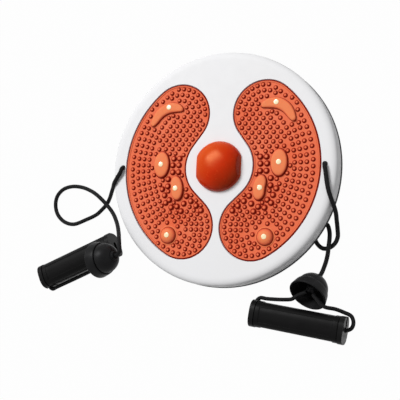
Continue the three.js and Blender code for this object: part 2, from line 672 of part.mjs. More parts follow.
place('centre_dome', surface(dome), finish(0xb81a06, 0.12));

// Base plate with its race ridge, hub and foot holes
const baseUnder = BASE_TOP - BASE_THICKNESS;
let base = turned([
  [boltHole, baseUnder],
  [BASE_RADIUS - BASE_EDGE_ROUND, baseUnder],
  [BASE_RADIUS, baseUnder + BASE_EDGE_ROUND],
  [BASE_RADIUS, BASE_TOP - BASE_EDGE_ROUND],
  [BASE_RADIUS - BASE_EDGE_ROUND, BASE_TOP],
  [ridgeOut, BASE_TOP],
  [ridgeOut, ridgeOver],
  ...groove(ridgeOver, false),
  [ridgeIn, ridgeOver],
  [ridgeIn, BASE_TOP],
  [BASE_HUB_RADIUS, BASE_TOP],
  [BASE_HUB_RADIUS, BASE_HUB_TOP],
  [boltHole, BASE_HUB_TOP],
  [boltHole, baseUnder],
], BASE_FACETS);
const footSpots = [];
for (let i = 0; i < FEET; i += 1) {
  const angle = (2 * Math.PI * (i + 0.5)) / FEET;
  footSpots.push([FOOT_CIRCLE * Math.cos(angle), FOOT_CIRCLE * Math.sin(angle)]);
}
for (const [x, y] of footSpots) {
  const hole = post(FOOT_NECK_RADIUS + SEAT, baseUnder - BASE_THICKNESS, BASE_TOP + BASE_THICKNESS, FOOT_FACETS);
  hole.translate(x, y, 0);
  base = base.subtract(solid(hole));
}
place('base_plate', surface(base), finish(0x17171a, 0.55));

// Rubber feet
const footTop = baseUnder - SEAT;
for (let i = 0; i < FEET; i += 1) {
  const foot = turned([
    [0, 0],
    [FOOT_RADIUS - FOOT_ROUND, 0],
    [FOOT_RADIUS, FOOT_ROUND],
    [FOOT_RADIUS, footTop],
    [FOOT_NECK_RADIUS, footTop],
    [FOOT_NECK_RADIUS, footTop + FOOT_NECK_DEPTH],
    [0, footTop + FOOT_NECK_DEPTH],
  ], FOOT_FACETS);
  place(`foot_${i + 1}`, surface(foot), finish(0x1d1d1f, 0.85)).position.set(footSpots[i][0], footSpots[i][1], 0);
}
const centreFoot = turned([
  [0, 0],
  [CENTRE_FOOT_RADIUS - FOOT_ROUND, 0],
  [CENTRE_FOOT_RADIUS, FOOT_ROUND],
  [CENTRE_FOOT_RADIUS, footTop],
  [NUT_POCKET_RADIUS, footTop],
  [NUT_POCKET_RADIUS, CENTRE_FOOT_FLOOR],
  [0, CENTRE_FOOT_FLOOR],
], CENTRE_FOOT_FACETS);
place('centre_foot', surface(centreFoot), finish(0x1d1d1f, 0.85));

// Pivot bolt, washers and lock nut
const headFoot = PLATE_TOP + 2 * SEAT + WASHER_THICKNESS;
const bolt = turned([
  [0, CENTRE_FOOT_FLOOR + SEAT],
  [BOLT_RADIUS, CENTRE_FOOT_FLOOR + SEAT],
  [BOLT_RADIUS, headFoot],
  [BOLT_HEAD_RADIUS, headFoot],
  [BOLT_HEAD_RADIUS, headFoot + BOLT_HEAD_HEIGHT - BOLT_HEAD_ROUND],
  [BOLT_HEAD_RADIUS - BOLT_HEAD_ROUND, headFoot + BOLT_HEAD_HEIGHT],
  [0, headFoot + BOLT_HEAD_HEIGHT],
], BOLT_FACETS);
place('pivot_bolt', surface(bolt), finish(0xb9bcc0, 0.3, 1));
function ringBody(inner, outer, from, to, facets) {
  return turned([[inner, from], [outer, from], [outer, to], [inner, to], [inner, from]], facets);
}
const upperWasher = ringBody(boltHole, WASHER_RADIUS, PLATE_TOP + SEAT, PLATE_TOP + SEAT + WASHER_THICKNESS, BOLT_FACETS);
place('upper_washer', surface(upperWasher), finish(0xc4c7ca, 0.35, 1));
const lowerWasher = ringBody(
  boltHole,
  WASHER_RADIUS,
  BASE_HUB_TOP + SEAT,
  BASE_HUB_TOP + SEAT + WASHER_THICKNESS,
  BOLT_FACETS,
);
place('lower_washer', surface(lowerWasher), finish(0xc4c7ca, 0.35, 1));
const nutBore = post(boltHole, footTop - 2 * NUT_HEIGHT, footTop + NUT_HEIGHT, BOLT_FACETS);
const nut = solid(post(NUT_RADIUS, footTop - NUT_HEIGHT, footTop, NUT_SIDES)).subtract(solid(nutBore));
place('lock_nut', surface(nut), finish(0xaeb2b6, 0.35, 1));

// Ball cage and race balls
let cage = ringBody(
  RACE_RADIUS - CAGE_HALF_WIDTH,
  RACE_RADIUS + CAGE_HALF_WIDTH,
  RACE_MID_HEIGHT - CAGE_THICKNESS / 2,
  RACE_MID_HEIGHT + CAGE_THICKNESS / 2,
  CAGE_FACETS,
);
const raceSpots = [];
for (let i = 0; i < RACE_BALLS; i += 1) {
  const angle = (2 * Math.PI * i) / RACE_BALLS;
  raceSpots.push([RACE_RADIUS * Math.cos(angle), RACE_RADIUS * Math.sin(angle)]);
}
for (const [x, y] of raceSpots) {
  const hole = post(
    RACE_BALL_RADIUS + CAGE_CLEAR,
    RACE_MID_HEIGHT - CAGE_THICKNESS,
    RACE_MID_HEIGHT + CAGE_THICKNESS,
    CAGE_HOLE_SIDES,
  );
  hole.translate(x, y, 0);
  cage = cage.subtract(solid(hole));
}
place('ball_cage', surface(cage), finish(0xd9d4c4, 0.6));
for (let i = 0; i < RACE_BALLS; i += 1) {
  const geometry = new THREE.SphereGeometry(RACE_BALL_RADIUS, RACE_BALL_SIDES, RACE_BALL_SIDES - 2);
  const ball = place(`race_ball_${i + 1}`, surface(solid(geometry)), finish(0xc9ccd0, 0.12, 1));
  ball.position.set(raceSpots[i][0], raceSpots[i][1], RACE_MID_HEIGHT);
}

// Cords, covers, straps and grips on both sides
const SIDES = [
  {
    name: 'left',
    holeX: -CORD_HOLE_X,
    route: CORD_LEFT_ROUTE,
    steps: CORD_STEPS_LEFT,
    grip: GRIP_LEFT,
    strapSide: -1,
    cover: coverFrame(COVER_LEFT, COVER_LEFT_AXIS),
    strands: [LEFT_STRAND_FAR, LEFT_STRAND_NEAR],
    strap: LEFT_STRAP_ROUTE,
  },
  {
    name: 'right',
    holeX: CORD_HOLE_X,
    route: CORD_RIGHT_ROUTE,
    steps: CORD_STEPS_RIGHT,
    grip: GRIP_RIGHT,
    strapSide: 1,
    cover: coverFrame(COVER_RIGHT, COVER_RIGHT_AXIS),
    strands: [RIGHT_STRAND_FAR, RIGHT_STRAND_NEAR],
    strap: RIGHT_STRAP_ROUTE,
  },
];
for (const side of SIDES) {
  const { name, cover, grip, strapSide } = side;
  const collarTop = COVER_CAP_RADIUS + COVER_COLLAR_HEIGHT;
  const heights = [collarTop + CORD_LEAD, collarTop, COVER_CAP_RADIUS - COVER_WALL, COVER_KNOT_RADIUS + SEAT];
  const route = side.route.concat(heights.map((height) => cover.at([0, 0, height])));
  place(`cord_${name}`, cordBody(route, CORD_DIAMETER, CORD_SIDES, side.steps), finish(0x141416, 0.7));
  const stop = new THREE.SphereGeometry(KNOT_RADIUS, KNOT_SIDES, KNOT_SIDES - 2);
  const stopMesh = place(`cord_stop_${name}`, surface(solid(stop)), finish(0x141416, 0.7));
  stopMesh.position.set(side.holeX, CORD_HOLE_Y, side.route[0][2] - SEAT - KNOT_RADIUS);
  const knot = new THREE.SphereGeometry(COVER_KNOT_RADIUS, KNOT_SIDES, KNOT_SIDES - 2);
  place(`cover_knot_${name}`, surface(solid(knot)), finish(0x141416, 0.7)).position.copy(cover.centre);
  const cap = place(`cover_cap_${name}`, surface(coverCap()), finish(0x1a1a1d, 0.32));
  cap.position.copy(cover.centre);
  cap.quaternion.copy(cover.turn);
  const skirt = place(`cover_base_${name}`, surface(coverSkirt()), finish(0x1a1a1d, 0.32));
  skirt.position.copy(cover.centre);
  skirt.quaternion.copy(cover.turn);
  const strapRoute = [
    ...side.strands[0].map(cover.at),
    ...side.strap.map((point) => gripPoint(grip, strapSide, point)),
    ...side.strands[1].map(cover.at),
  ];
  place(`strap_${name}`, cordBody(strapRoute, STRAP_DIAMETER, STRAP_SIDES, STRAP_STEPS), finish(0x141416, 0.65));
  const bar = new THREE.Group();
  bar.position.set(grip.x, grip.y, GRIP_REST);
  bar.rotation.z = grip.turn * Math.PI / 180;
  object.add(bar);
  place(`grip_${name}`, surface(gripBody()), finish(0x1b1b1e, 0.4), bar);
  place(`grip_collar_${name}_a`, surface(gripCollar(-1, strapSide)), finish(0x18181b, 0.4), bar);
  place(`grip_collar_${name}_b`, surface(gripCollar(1, strapSide)), finish(0x18181b, 0.4), bar);
}

export default object;
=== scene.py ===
"""Dressed model of a waist twisting disc.

A white plate with two studded foot pads and a red dome turns on a black base with rubber
feet. Two cords leave the plate, each with a bell-shaped cover and a bar grip on a strap.
"""

import math

import bmesh
import bpy
import numpy as np
from bpy.props import FloatProperty, FloatVectorProperty, IntProperty, PointerProperty
from mathutils import Matrix, Vector
from mathutils.geometry import tessellate_polygon


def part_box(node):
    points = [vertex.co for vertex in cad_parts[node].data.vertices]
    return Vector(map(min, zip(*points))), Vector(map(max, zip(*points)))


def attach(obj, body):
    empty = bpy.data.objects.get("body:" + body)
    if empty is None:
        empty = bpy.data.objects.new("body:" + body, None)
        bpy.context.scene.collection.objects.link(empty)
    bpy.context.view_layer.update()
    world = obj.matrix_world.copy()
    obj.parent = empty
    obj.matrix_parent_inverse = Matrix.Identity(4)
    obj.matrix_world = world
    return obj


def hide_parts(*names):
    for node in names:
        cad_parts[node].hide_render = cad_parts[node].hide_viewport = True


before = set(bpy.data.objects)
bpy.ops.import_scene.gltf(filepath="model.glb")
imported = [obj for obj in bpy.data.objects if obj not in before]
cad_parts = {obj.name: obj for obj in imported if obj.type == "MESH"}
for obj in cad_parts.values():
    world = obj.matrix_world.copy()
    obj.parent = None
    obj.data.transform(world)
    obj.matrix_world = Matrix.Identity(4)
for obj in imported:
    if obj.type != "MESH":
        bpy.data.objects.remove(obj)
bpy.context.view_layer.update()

bl_info = {
    "name": "Waist twisting disc",
    "version": (1, 0, 0),
    "blender": (4, 5, 0),
    "location": "View3D > Sidebar > Twist Disc",
    "description": "Dresses the solid frame of a waist twisting disc with its real surfaces",
    "category": "Add Mesh",
}

# Camera, solved from the rim of the photographed plate, metres and radians
CAMERA_PLACE = (0.31546, -0.1615, 0.85309)
CAMERA_TARGET = (-0.03404, -0.03512, 0.0)
CAMERA_ROLL = math.radians(-68.582)
CAMERA_LENS = 0.068661
CAMERA_SENSOR = 0.036

# Sizes read from the solid frame
PLATE_LOW, PLATE_HIGH = (np.array(corner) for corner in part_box("top_plate"))
BASE_LOW, BASE_HIGH = (np.array(corner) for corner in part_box("base_plate"))
DOME_LOW, DOME_HIGH = (np.array(corner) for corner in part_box("centre_dome"))
PLATE_TOP = float(PLATE_HIGH[2])
PLATE_FOOT = float(PLATE_LOW[2])

# Meshing: weld distance, step along a route, samples between two of its points
WELD = 1e-6
ROUTE_STEP = 0.0011
ROUTE_SAMPLES = 40

# Plate and race, metres
SHOULDER_WIDTH = 0.011
SHOULDER_DROP = 0.008
SHOULDER_POWER = 0.72
PLATE_SKIN = 0.0046
PLATE_WALL = 0.0032
PLATE_FOOT_ROUND = 0.0008
PLATE_HOLLOW_ROUND = 0.004
PLATE_HUB = 0.015
PLATE_HUB_FOOT = 0.0138
RACE_RADIUS = 0.072
RIDGE_IN = RACE_RADIUS - 0.0065
RIDGE_OUT = RACE_RADIUS + 0.0065
RACE_HEIGHT = 0.019
RACE_WEB = 0.0015
RACE_BALL = 0.004
RACE_BALLS = 12
RACE_GAP = 0.00045
BOLT_BORE = 0.0043
CORD_HOLE = (0.126, 0.0007)
CORD_HOLE_RADIUS = 0.0031
CORD_HOLE_TURNS = 40
FINE_TURNS = 192
ROUND_TURNS = 96

# Base, metres
BASE_OVERHANG = 0.0018
BASE_THICKNESS = 0.0036
BASE_EDGE = 0.0009
BASE_HUB = 0.014
BASE_HUB_TOP = 0.012
BASE_RINGS = (0.032, 0.06, 0.124)
BASE_RING_DEPTH = 0.0016
BASE_RIB_ENDS = (0.0325, 0.1235)
FOOT_NECK = 0.004
CENTRE_FOOT_NECK = 0.008
CENTRE_FOOT_HOLLOW = 0.0018
FOOT_GAP = 0.0003

# Foot pads, right side; the left one is its mirror image
PAD_OUTER = 0.1217
PAD_INNER = 0.042
LOBE_CIRCLE = 0.083
LOBE_LOW = math.radians(-59.15)
LOBE_UP = math.radians(49.8)
PAD_RECESS = 0.0024
PAD_GAP = 0.00035
PAD_BED = 0.0003
PAD_FACE = 0.0302
BIG_PEGS = np.array([
    (50.5, 10.5), (58, 10.5), (51, 2.5), (59, 2.5), (51, -6), (58.5, -6), (64, -14.5), (64, -23),
    (71, -26.5), (67.5, -34), (61, -39.5), (65.5, -43), (58, -48.5), (39, -35), (33, -41),
    (26, -46.5), (19.5, -52), (42, -44), (50.5, -47.5), (45, -53),
]) / 1000
RIM_ROW = 0.1127
RIM_ROW_STEP = math.radians(3.95)
RIM_ROW_PHASE = math.radians(7.1)
OUTER_ROWS = np.array([0.1053, 0.0983, 0.0913, 0.0843, 0.0773])
OUTER_ROW_STEP = math.radians(4.45)
OUTER_ROW_PHASE = math.radians(-15.9)
LONG_ROWS_FROM = 0.09
LONG_ROWS_END = math.radians(60)
SHORT_ROWS_END = math.radians(-11)
HEEL_RINGS = np.array([0.0321, 0.0248, 0.0184, 0.0122, 0.0058])
HEEL_RINGS_REACH = 0.087
TOE_RINGS = np.array([0.033, 0.026, 0.0188])
TOE_RINGS_FROM = 0.062
TOE_RINGS_REACH = 0.112
TOE_RINGS_SLACK = 0.0002
INNER_ROW_INSET = 0.0062
INNER_ROW_PITCH = 0.0072
RIM_SIDE = (math.radians(-52), math.radians(58))
RIM_SIDE_FROM = 0.1
PEG_PITCH = 0.0067
STAGGER_WIDTH = 0.0087
STAGGER_RISE = 0.0056
STAGGER_SIDE = 0.083
STAGGER_TOE = 0.019
PEG_CLEAR = 0.0047
PEG_APART = 0.0063
SPREAD_ROUNDS = 40
PEG_ROOM = 0.006
PEG_SEARCH_STEP = 0.0008
PEG_EDGE = 0.0048
ISLAND_CLEAR = 0.0027

# Islands on the pads: centre, half widths, turn and height
MIDDLE_OVAL = {"centre": (0.0733, 0.0033), "half": (0.0102, 0.0163), "turn": 0.0, "height": 0.0042}
INSTEP_BEAN = {"centre": (0.0519, -0.0255), "half": (0.0083, 0.0152), "turn": -8.0, "height": 0.0048}
HEEL_KNOB = {"centre": (0.06, -0.082), "half": (0.0113, 0.0113), "turn": 0.0, "height": 0.0052}
TOE_LINE = np.array([(48.5, 69.5), (57, 73), (67.5, 73.4), (79, 67.5), (90, 51)]) / 1000
TOE_HALF_WIDTHS = np.array([3.6, 6.2, 7.2, 6.8, 4.6]) / 1000
TOE_HEIGHT = 0.0034
TOE_ROOT = 0.0003
MAGNET_SPOTS = {
    "toe": (0.0675, 0.0738, TOE_HEIGHT),
    "middle": (0.0735, 0.0035, MIDDLE_OVAL["height"]),
    "instep": (0.0525, -0.026, INSTEP_BEAN["height"]),
    "heel": (0.06, -0.082, HEEL_KNOB["height"]),
}

# Dome, metres
DOME_POWER = 0.85
DOME_FLAT_WALL = 0.0018
DOME_SOFTNESS = 0.00018
# Share of the dome's height, from its foot, that gets the painted lighter line
DOME_FOOT_LIGHT_SHARE = 0.16

# Cord routes, from the knot under the plate to the cover
CORD_LEFT_ROUTE = [
    (-0.126, 0.0007, 0.0252), (-0.126, 0.0007, 0.0315), (-0.1264, -0.0016, 0.0343),
    (-0.1278, -0.0057, 0.0344), (-0.1323, -0.0126, 0.0336), (-0.136, -0.0182, 0.0324),
    (-0.1416, -0.0227, 0.0245), (-0.1479, -0.0284, 0.0165), (-0.1538, -0.0336, 0.009),
    (-0.1613, -0.041, 0.0028), (-0.1685, -0.0487, 0.0026), (-0.175, -0.0542, 0.0026),
    (-0.19, -0.061, 0.0026), (-0.208, -0.067, 0.0026), (-0.222, -0.064, 0.0026),
    (-0.233, -0.0545, 0.0026), (-0.2375, -0.042, 0.0026), (-0.236, -0.0305, 0.0026),
    (-0.228, -0.0215, 0.0026), (-0.215, -0.0175, 0.0026), (-0.2, -0.0185, 0.0026),
    (-0.184, -0.024, 0.0046), (-0.171, -0.0313, 0.0082), (-0.158, -0.042, 0.0092),
    (-0.146, -0.053, 0.0135), (-0.1316, -0.0675, 0.027), (-0.1204, -0.08, 0.042),
    (-0.1142, -0.0885, 0.0515), (-0.1103, -0.0965, 0.057), (-0.1082, -0.1036, 0.0596),
]
CORD_RIGHT_ROUTE = [
    (0.126, 0.0007, 0.0252), (0.126, 0.0007, 0.0315), (0.1263, -0.0016, 0.0343),
    (0.1276, -0.008, 0.0344), (0.129, -0.017, 0.0343), (0.1309, -0.027, 0.0342),
    (0.1334, -0.036, 0.032), (0.136, -0.0445, 0.0268), (0.137, -0.052, 0.0185),
    (0.1364, -0.06, 0.0095), (0.1364, -0.0685, 0.004), (0.1366, -0.078, 0.0026),
    (0.1336, -0.0852, 0.0026), (0.1276, -0.0902, 0.0026), (0.1205, -0.0912, 0.0026),
    (0.1145, -0.0872, 0.0026), (0.1106, -0.08, 0.0026), (0.1106, -0.072, 0.0026),
    (0.1135, -0.0645, 0.0026), (0.119, -0.0615, 0.0026), (0.1245, -0.0645, 0.0026),
    (0.1273, -0.072, 0.0036), (0.1283, -0.08, 0.0066), (0.1278, -0.09, 0.0084),
    (0.1266, -0.0982, 0.0062), (0.1244, -0.106, 0.0036), (0.1223, -0.112, 0.0027),
    (0.1203, -0.1176, 0.0029),
]
CORD_DIAMETER = 0.005
CORD_LEAD = 0.003
STRAP_DIAMETER = 0.0044

# Knots: size of the knotted line and radius of its cord
PLATE_KNOT = (0.0034, 0.0018)
BELL_KNOT = (0.0042, 0.0021)

# Bell covers: a domed cap, a flared skirt and the knot in the middle of the cap's ball
COVER_CAP_RADIUS = 0.0183
COVER_WALL = 0.0022
COVER_SEAM = 0.00145
COVER_COLLAR = 0.0016
COVER_MOUTH = 0.022
COVER_MOUTH_HEIGHT = -0.0103
COVER_KNOT = 0.0065
COVER_BORE = 0.0029
SPIGOT_STEP = 0.0016
SPIGOT_DEPTH = 0.0008
KNOT_SEAT = 0.0003
COVER_CENTRES = {"left": (-0.13244, -0.11294, 0.05169), "right": (0.1124, -0.1378, 0.0187)}
COVER_AXES = {"left": (0.935, 0.19, 0.3), "right": (0.27, 0.715, -0.645)}

# Bar grips: place, turn and the side their strap lies on
GRIP_REST = 0.0156
GRIP_BORE = 0.0085
GRIP_EDGE = 0.0009
COLLAR_GAP = 0.0003
COLLAR_STEP = 0.0005
COLLAR_SLOT = 0.0032
GRIPS = {
    "left": {"place": (-0.187, -0.1154), "turn": math.radians(24.5), "strap_side": -1},
    "right": {"place": (0.0976, -0.1743), "turn": math.radians(-7.4), "strap_side": 1},
}

# Strap strands inside the bell mouths: degrees round the bell, radius, height over its knot
STRAP_STRANDS = {
    "left": (
        [(0, 0.0025, -0.0063), (0, 0.004, -0.011), (0, 0.005, -0.016)],
        [(90, 0.0245, -0.0135), (90, 0.02, -0.0135), (90, 0.013, -0.0092), (90, 0.0052, -0.0044)],
    ),
    "right": (
        [(150, 0.0048, -0.0048), (146, 0.0135, -0.0096), (142, 0.02, -0.0135), (140, 0.0242, -0.0134)],
        [(5, 0.0245, -0.0132), (5, 0.02, -0.0135), (10, 0.0135, -0.0096), (20, 0.0048, -0.0048)],
    ),
}

# Strap routes in grip terms: along the bar, toward the strap side, height
STRAP_ROUTES = {
    "left": [
        (0.031, 0.021, 0.04), (0.0285, 0.0196, 0.03), (0.025, 0.0184, 0.021), (0.015, 0.0176, 0.0152),
        (-0.015, 0.0174, 0.013), (-0.043, 0.0178, 0.0148), (-0.048, 0.0181, 0.0154),
        (-0.0512, 0.014, 0.0156), (-0.0512, 0.007, 0.0156), (-0.045, 0.0003, 0.0156),
        (-0.02, 0, 0.0156), (0.02, 0, 0.0156), (0.045, 0.0003, 0.0156), (0.0509, 0.006, 0.0156),
        (0.051, 0.013, 0.0158), (0.05, 0.018, 0.0176),
    ],
    "right": [
        (-0.025, 0.0203, 0.0166), (-0.04, 0.0186, 0.0161), (-0.0476, 0.0182, 0.0159),
        (-0.0512, 0.014, 0.0156), (-0.0512, 0.007, 0.0156), (-0.045, 0.0003, 0.0156),
        (-0.02, 0, 0.0156), (0.02, 0, 0.0156), (0.046, 0, 0.0156), (0.054, 0.0004, 0.0156),
        (0.0595, 0.0038, 0.0156), (0.0608, 0.01, 0.0156), (0.0575, 0.0166, 0.0156),
        (0.049, 0.0194, 0.0172), (0.04, 0.0212, 0.021),
    ],
}


class Shell:
    """Patches of points and faces, gathered and then welded into one closed mesh."""

    def __init__(self):
        self.points = []
        self.faces = []
        self.tones = []
        self.corner_uvs = []
        self.count = 0

    def add(self, points, faces, tone=1.0, corner_uvs=None):
        """Keep points (n, 3), faces (m, 3 or 4) and one tone for each point."""
        points = np.asarray(points, float).reshape(-1, 3)
        faces = np.asarray(faces, int)
        if corner_uvs is None:
            corner_uvs = points[faces][..., :2]
        self.points.append(points)
        self.faces.append(faces + self.count)
        self.tones.append(np.broadcast_to(np.asarray(tone, float), len(points)))
        self.corner_uvs.append(np.asarray(corner_uvs, float))
        self.count += len(points)

    def grid(self, points, wrap_u=False, wrap_v=False, tone=1.0, lengths=None):
        """Quads between neighbours of a (rows, columns, 3) grid, closed on request.
        lengths = (u, v) gives the real distance of each row and column for the UV map."""
        rows, columns = points.shape[:2]
        i, j = np.meshgrid(
            np.arange(rows if wrap_u else rows - 1),
            np.arange(columns if wrap_v else columns - 1),
            indexing="ij",
        )
        i, j = i.ravel(), j.ravel()
        step_i = np.stack([i, i + 1, i + 1, i], axis=1)
        step_j = np.stack([j, j, j + 1, j + 1], axis=1)
        faces = (step_i % rows) * columns + step_j % columns
        tone = np.broadcast_to(np.asarray(tone, float), (rows, columns)).reshape(-1)
        uvs = None
        if lengths is not None:
            uvs = np.stack([lengths[0][step_i], lengths[1][step_j]], axis=-1)
        self.add(points, faces, tone, uvs)

    def flat(self, loops, height, tone=1.0):
        """Level face inside the first loop (n, 2) and outside the other ones."""
        vectors = [[Vector((x, y, 0)) for x, y in loop] for loop in loops]
        faces = np.array(tessellate_polygon(vectors))
        self.add(at_height(np.concatenate(loops), height), faces, tone)

    def turned(self, profile, turns):
        """Surface of revolution about Z from (radius, height) pairs."""
        self.grid(turned_points(profile, turns), wrap_v=True)

    def moved(self, matrix):
        """Carry every point gathered so far by a 4 x 4 matrix."""
        turn = np.array(matrix)
        self.points = [points @ turn[:3, :3].T + turn[:3, 3] for points in self.points]
        return self

    def mirrored(self):
        """Mirror image across the plane X = 0."""
        self.points = [points * (-1, 1, 1) for points in self.points]
        return self

    def build(self, name, finish, smooth_angle=32.0):
        """Welded object with outward faces, its tone attribute and its UV map."""
        mesh = bpy.data.meshes.new(name)
        faces = [face for block in self.faces for face in block.tolist()]
        mesh.from_pydata(np.concatenate(self.points).tolist(), [], faces)
        tone = mesh.attributes.new("tone", "FLOAT", "POINT")
        tone.data.foreach_set("value", np.concatenate(self.tones).astype(np.float32))
        uvs = np.concatenate([block.reshape(-1, 2) for block in self.corner_uvs])
        mesh.uv_layers.new(name="UVMap").data.foreach_set("uv", uvs.astype(np.float32).ravel())
        welded = bmesh.new()
        welded.from_mesh(mesh)
        bmesh.ops.remove_doubles(welded, verts=welded.verts, dist=WELD)
        bmesh.ops.dissolve_degenerate(welded, edges=welded.edges, dist=WELD)
        bmesh.ops.recalc_face_normals(welded, faces=welded.faces)
        welded.to_mesh(mesh)
        welded.free()
        mesh.shade_smooth()
        mesh.set_sharp_from_angle(angle=math.radians(smooth_angle))
        mesh.materials.append(finish)
        piece = bpy.data.objects.new(name, mesh)
        bpy.context.scene.collection.objects.link(piece)
        return piece


def round_angles(turns):
    """Equal angles once round a circle, without the closing one."""
    return np.arange(turns) * (2 * np.pi / turns)


def circle(centre, radius, turns):
    """Points (turns, 2) at one radius from a centre."""
    angle = round_angles(turns)
    return np.column_stack([centre[0] + radius * np.cos(angle), centre[1] + radius * np.sin(angle)])


def at_height(line, height):
    """Points (n, 3) of a line (n, 2) at one height."""
    return np.column_stack([line, np.full(len(line), height)])


def turned_points(profile, turns):
    """Points (rows, turns, 3) of (radius, height) pairs carried round Z."""
    profile = np.asarray(profile, float)
    angle = round_angles(turns)
    return np.stack([
        profile[:, :1] * np.cos(angle),
        profile[:, :1] * np.sin(angle),
        np.broadcast_to(profile[:, 1:], (len(profile), turns)),
    ], axis=-1)


def arc(centre, radius, start, end, steps):
    """Points (steps, 2) from the start angle to the end angle about a centre."""
    angle = np.linspace(start, end, steps)
    return np.column_stack([centre[0] + radius * np.cos(angle), centre[1] + radius * np.sin(angle)])


def race_groove(side):
    """Groove round the race balls: side 1 lies over them in the plate, -1 under them in the base."""
    rise = math.asin(RACE_WEB / (RACE_BALL + RACE_GAP))
    ends = side * rise, side * (math.pi - rise)
    return arc((RACE_RADIUS, RACE_HEIGHT), RACE_BALL + RACE_GAP, *ends, 9)


def weigh_faces(piece):
    """Let large flat faces keep straight normals where a small round meets them."""
    modifier = piece.modifiers.new("Face weights", "WEIGHTED_NORMAL")
    modifier.keep_sharp = True
    return piece


def stand_for(piece, body, slot, *nodes):
    """Ride on a body and stand for solid nodes; the slot is not used."""
    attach(piece, body)
    if nodes:
        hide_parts(*nodes)
    return piece


def turned_piece(name, profile, turns, place, finish, body, slot, node):
    """Piece turned from one profile, carried to its place, standing for a solid node."""
    shell = Shell()
    shell.turned(profile, turns)
    stand_for(shell.moved(place).build(name, finish), body, slot, node)


# Paths and tubes

def distances(path):
    """Distance travelled along the path at each of its points."""
    return np.append(0, np.cumsum(np.linalg.norm(np.diff(path, axis=0), axis=1)))


def smooth_route(points, spacing):
    """Centripetal Catmull-Rom curve through the points, sampled at an even spacing.
    Each stretch is a cubic whose end slopes weigh the neighbours by the root of their distance."""
    route = np.asarray(points, float)
    before = 2 * route[0] - route[1]
    after = 2 * route[-1] - route[-2]
    route = np.vstack([before, route, after])
    gaps = np.sqrt(np.linalg.norm(np.diff(route, axis=0), axis=1))[:, None]
    p0, p1, p2, p3 = route[:-3], route[1:-2], route[2:-1], route[3:]
    g0, g1, g2 = gaps[:-2], gaps[1:-1], gaps[2:]
    slope1 = g1 * ((p1 - p0) / g0 - (p2 - p0) / (g0 + g1) + (p2 - p1) / g1)
    slope2 = g1 * ((p2 - p1) / g1 - (p3 - p1) / (g1 + g2) + (p3 - p2) / g2)
    t = np.linspace(0, 1, ROUTE_SAMPLES, endpoint=False)[:, None, None]
    curve = (
        (2 * t**3 - 3 * t**2 + 1) * p1
        + (t**3 - 2 * t**2 + t) * slope1
        + (3 * t**2 - 2 * t**3) * p2
        + (t**3 - t**2) * slope2
    )
    curve = np.vstack([curve.transpose(1, 0, 2).reshape(-1, 3), route[-2]])
    travelled = distances(curve)
    stations = np.linspace(0, travelled[-1], int(round(travelled[-1] / spacing)) + 1)
    return np.column_stack([np.interp(stations, travelled, curve[:, k]) for k in range(3)])


def path_length(path):
    """Sum of the steps between neighbouring points."""
    return float(np.linalg.norm(np.diff(path, axis=0), axis=1).sum())


def carried_frames(path):
    """Two directions square to the path at each point, turned as little as can be."""
    along = np.gradient(path, axis=0)
    along /= np.linalg.norm(along, axis=1)[:, None]
    side = np.zeros_like(path)
    seed = np.cross(along[0], (0.31, 0.87, 0.19))
    side[0] = seed / np.linalg.norm(seed)
    for step in range(1, len(path)):
        kept = side[step - 1] - along[step] * np.dot(along[step], side[step - 1])
        side[step] = kept / np.linalg.norm(kept)
    return side, np.cross(along, side)


def tube(shell, path, radius, sides):
    """Circle carried along a path, with flat closed ends."""
    side, rise = carried_frames(path)
    angle = round_angles(sides)
    circles = (
        side[:, None, :] * np.cos(angle)[None, :, None]
        + rise[:, None, :] * np.sin(angle)[None, :, None]
    )
    rings = path[:, None, :] + circles * radius
    ends = [np.broadcast_to(path[k], (1, sides, 3)) for k in (0, -1)]
    rings = np.concatenate([ends[0], rings, ends[1]])
    travelled = distances(path)
    travelled = np.concatenate([[0], travelled, travelled[-1:]])
    around = np.arange(sides + 1) * (2 * np.pi * radius / sides)
    shell.grid(rings, wrap_v=True, lengths=(travelled, around))
    return shell


# Materials

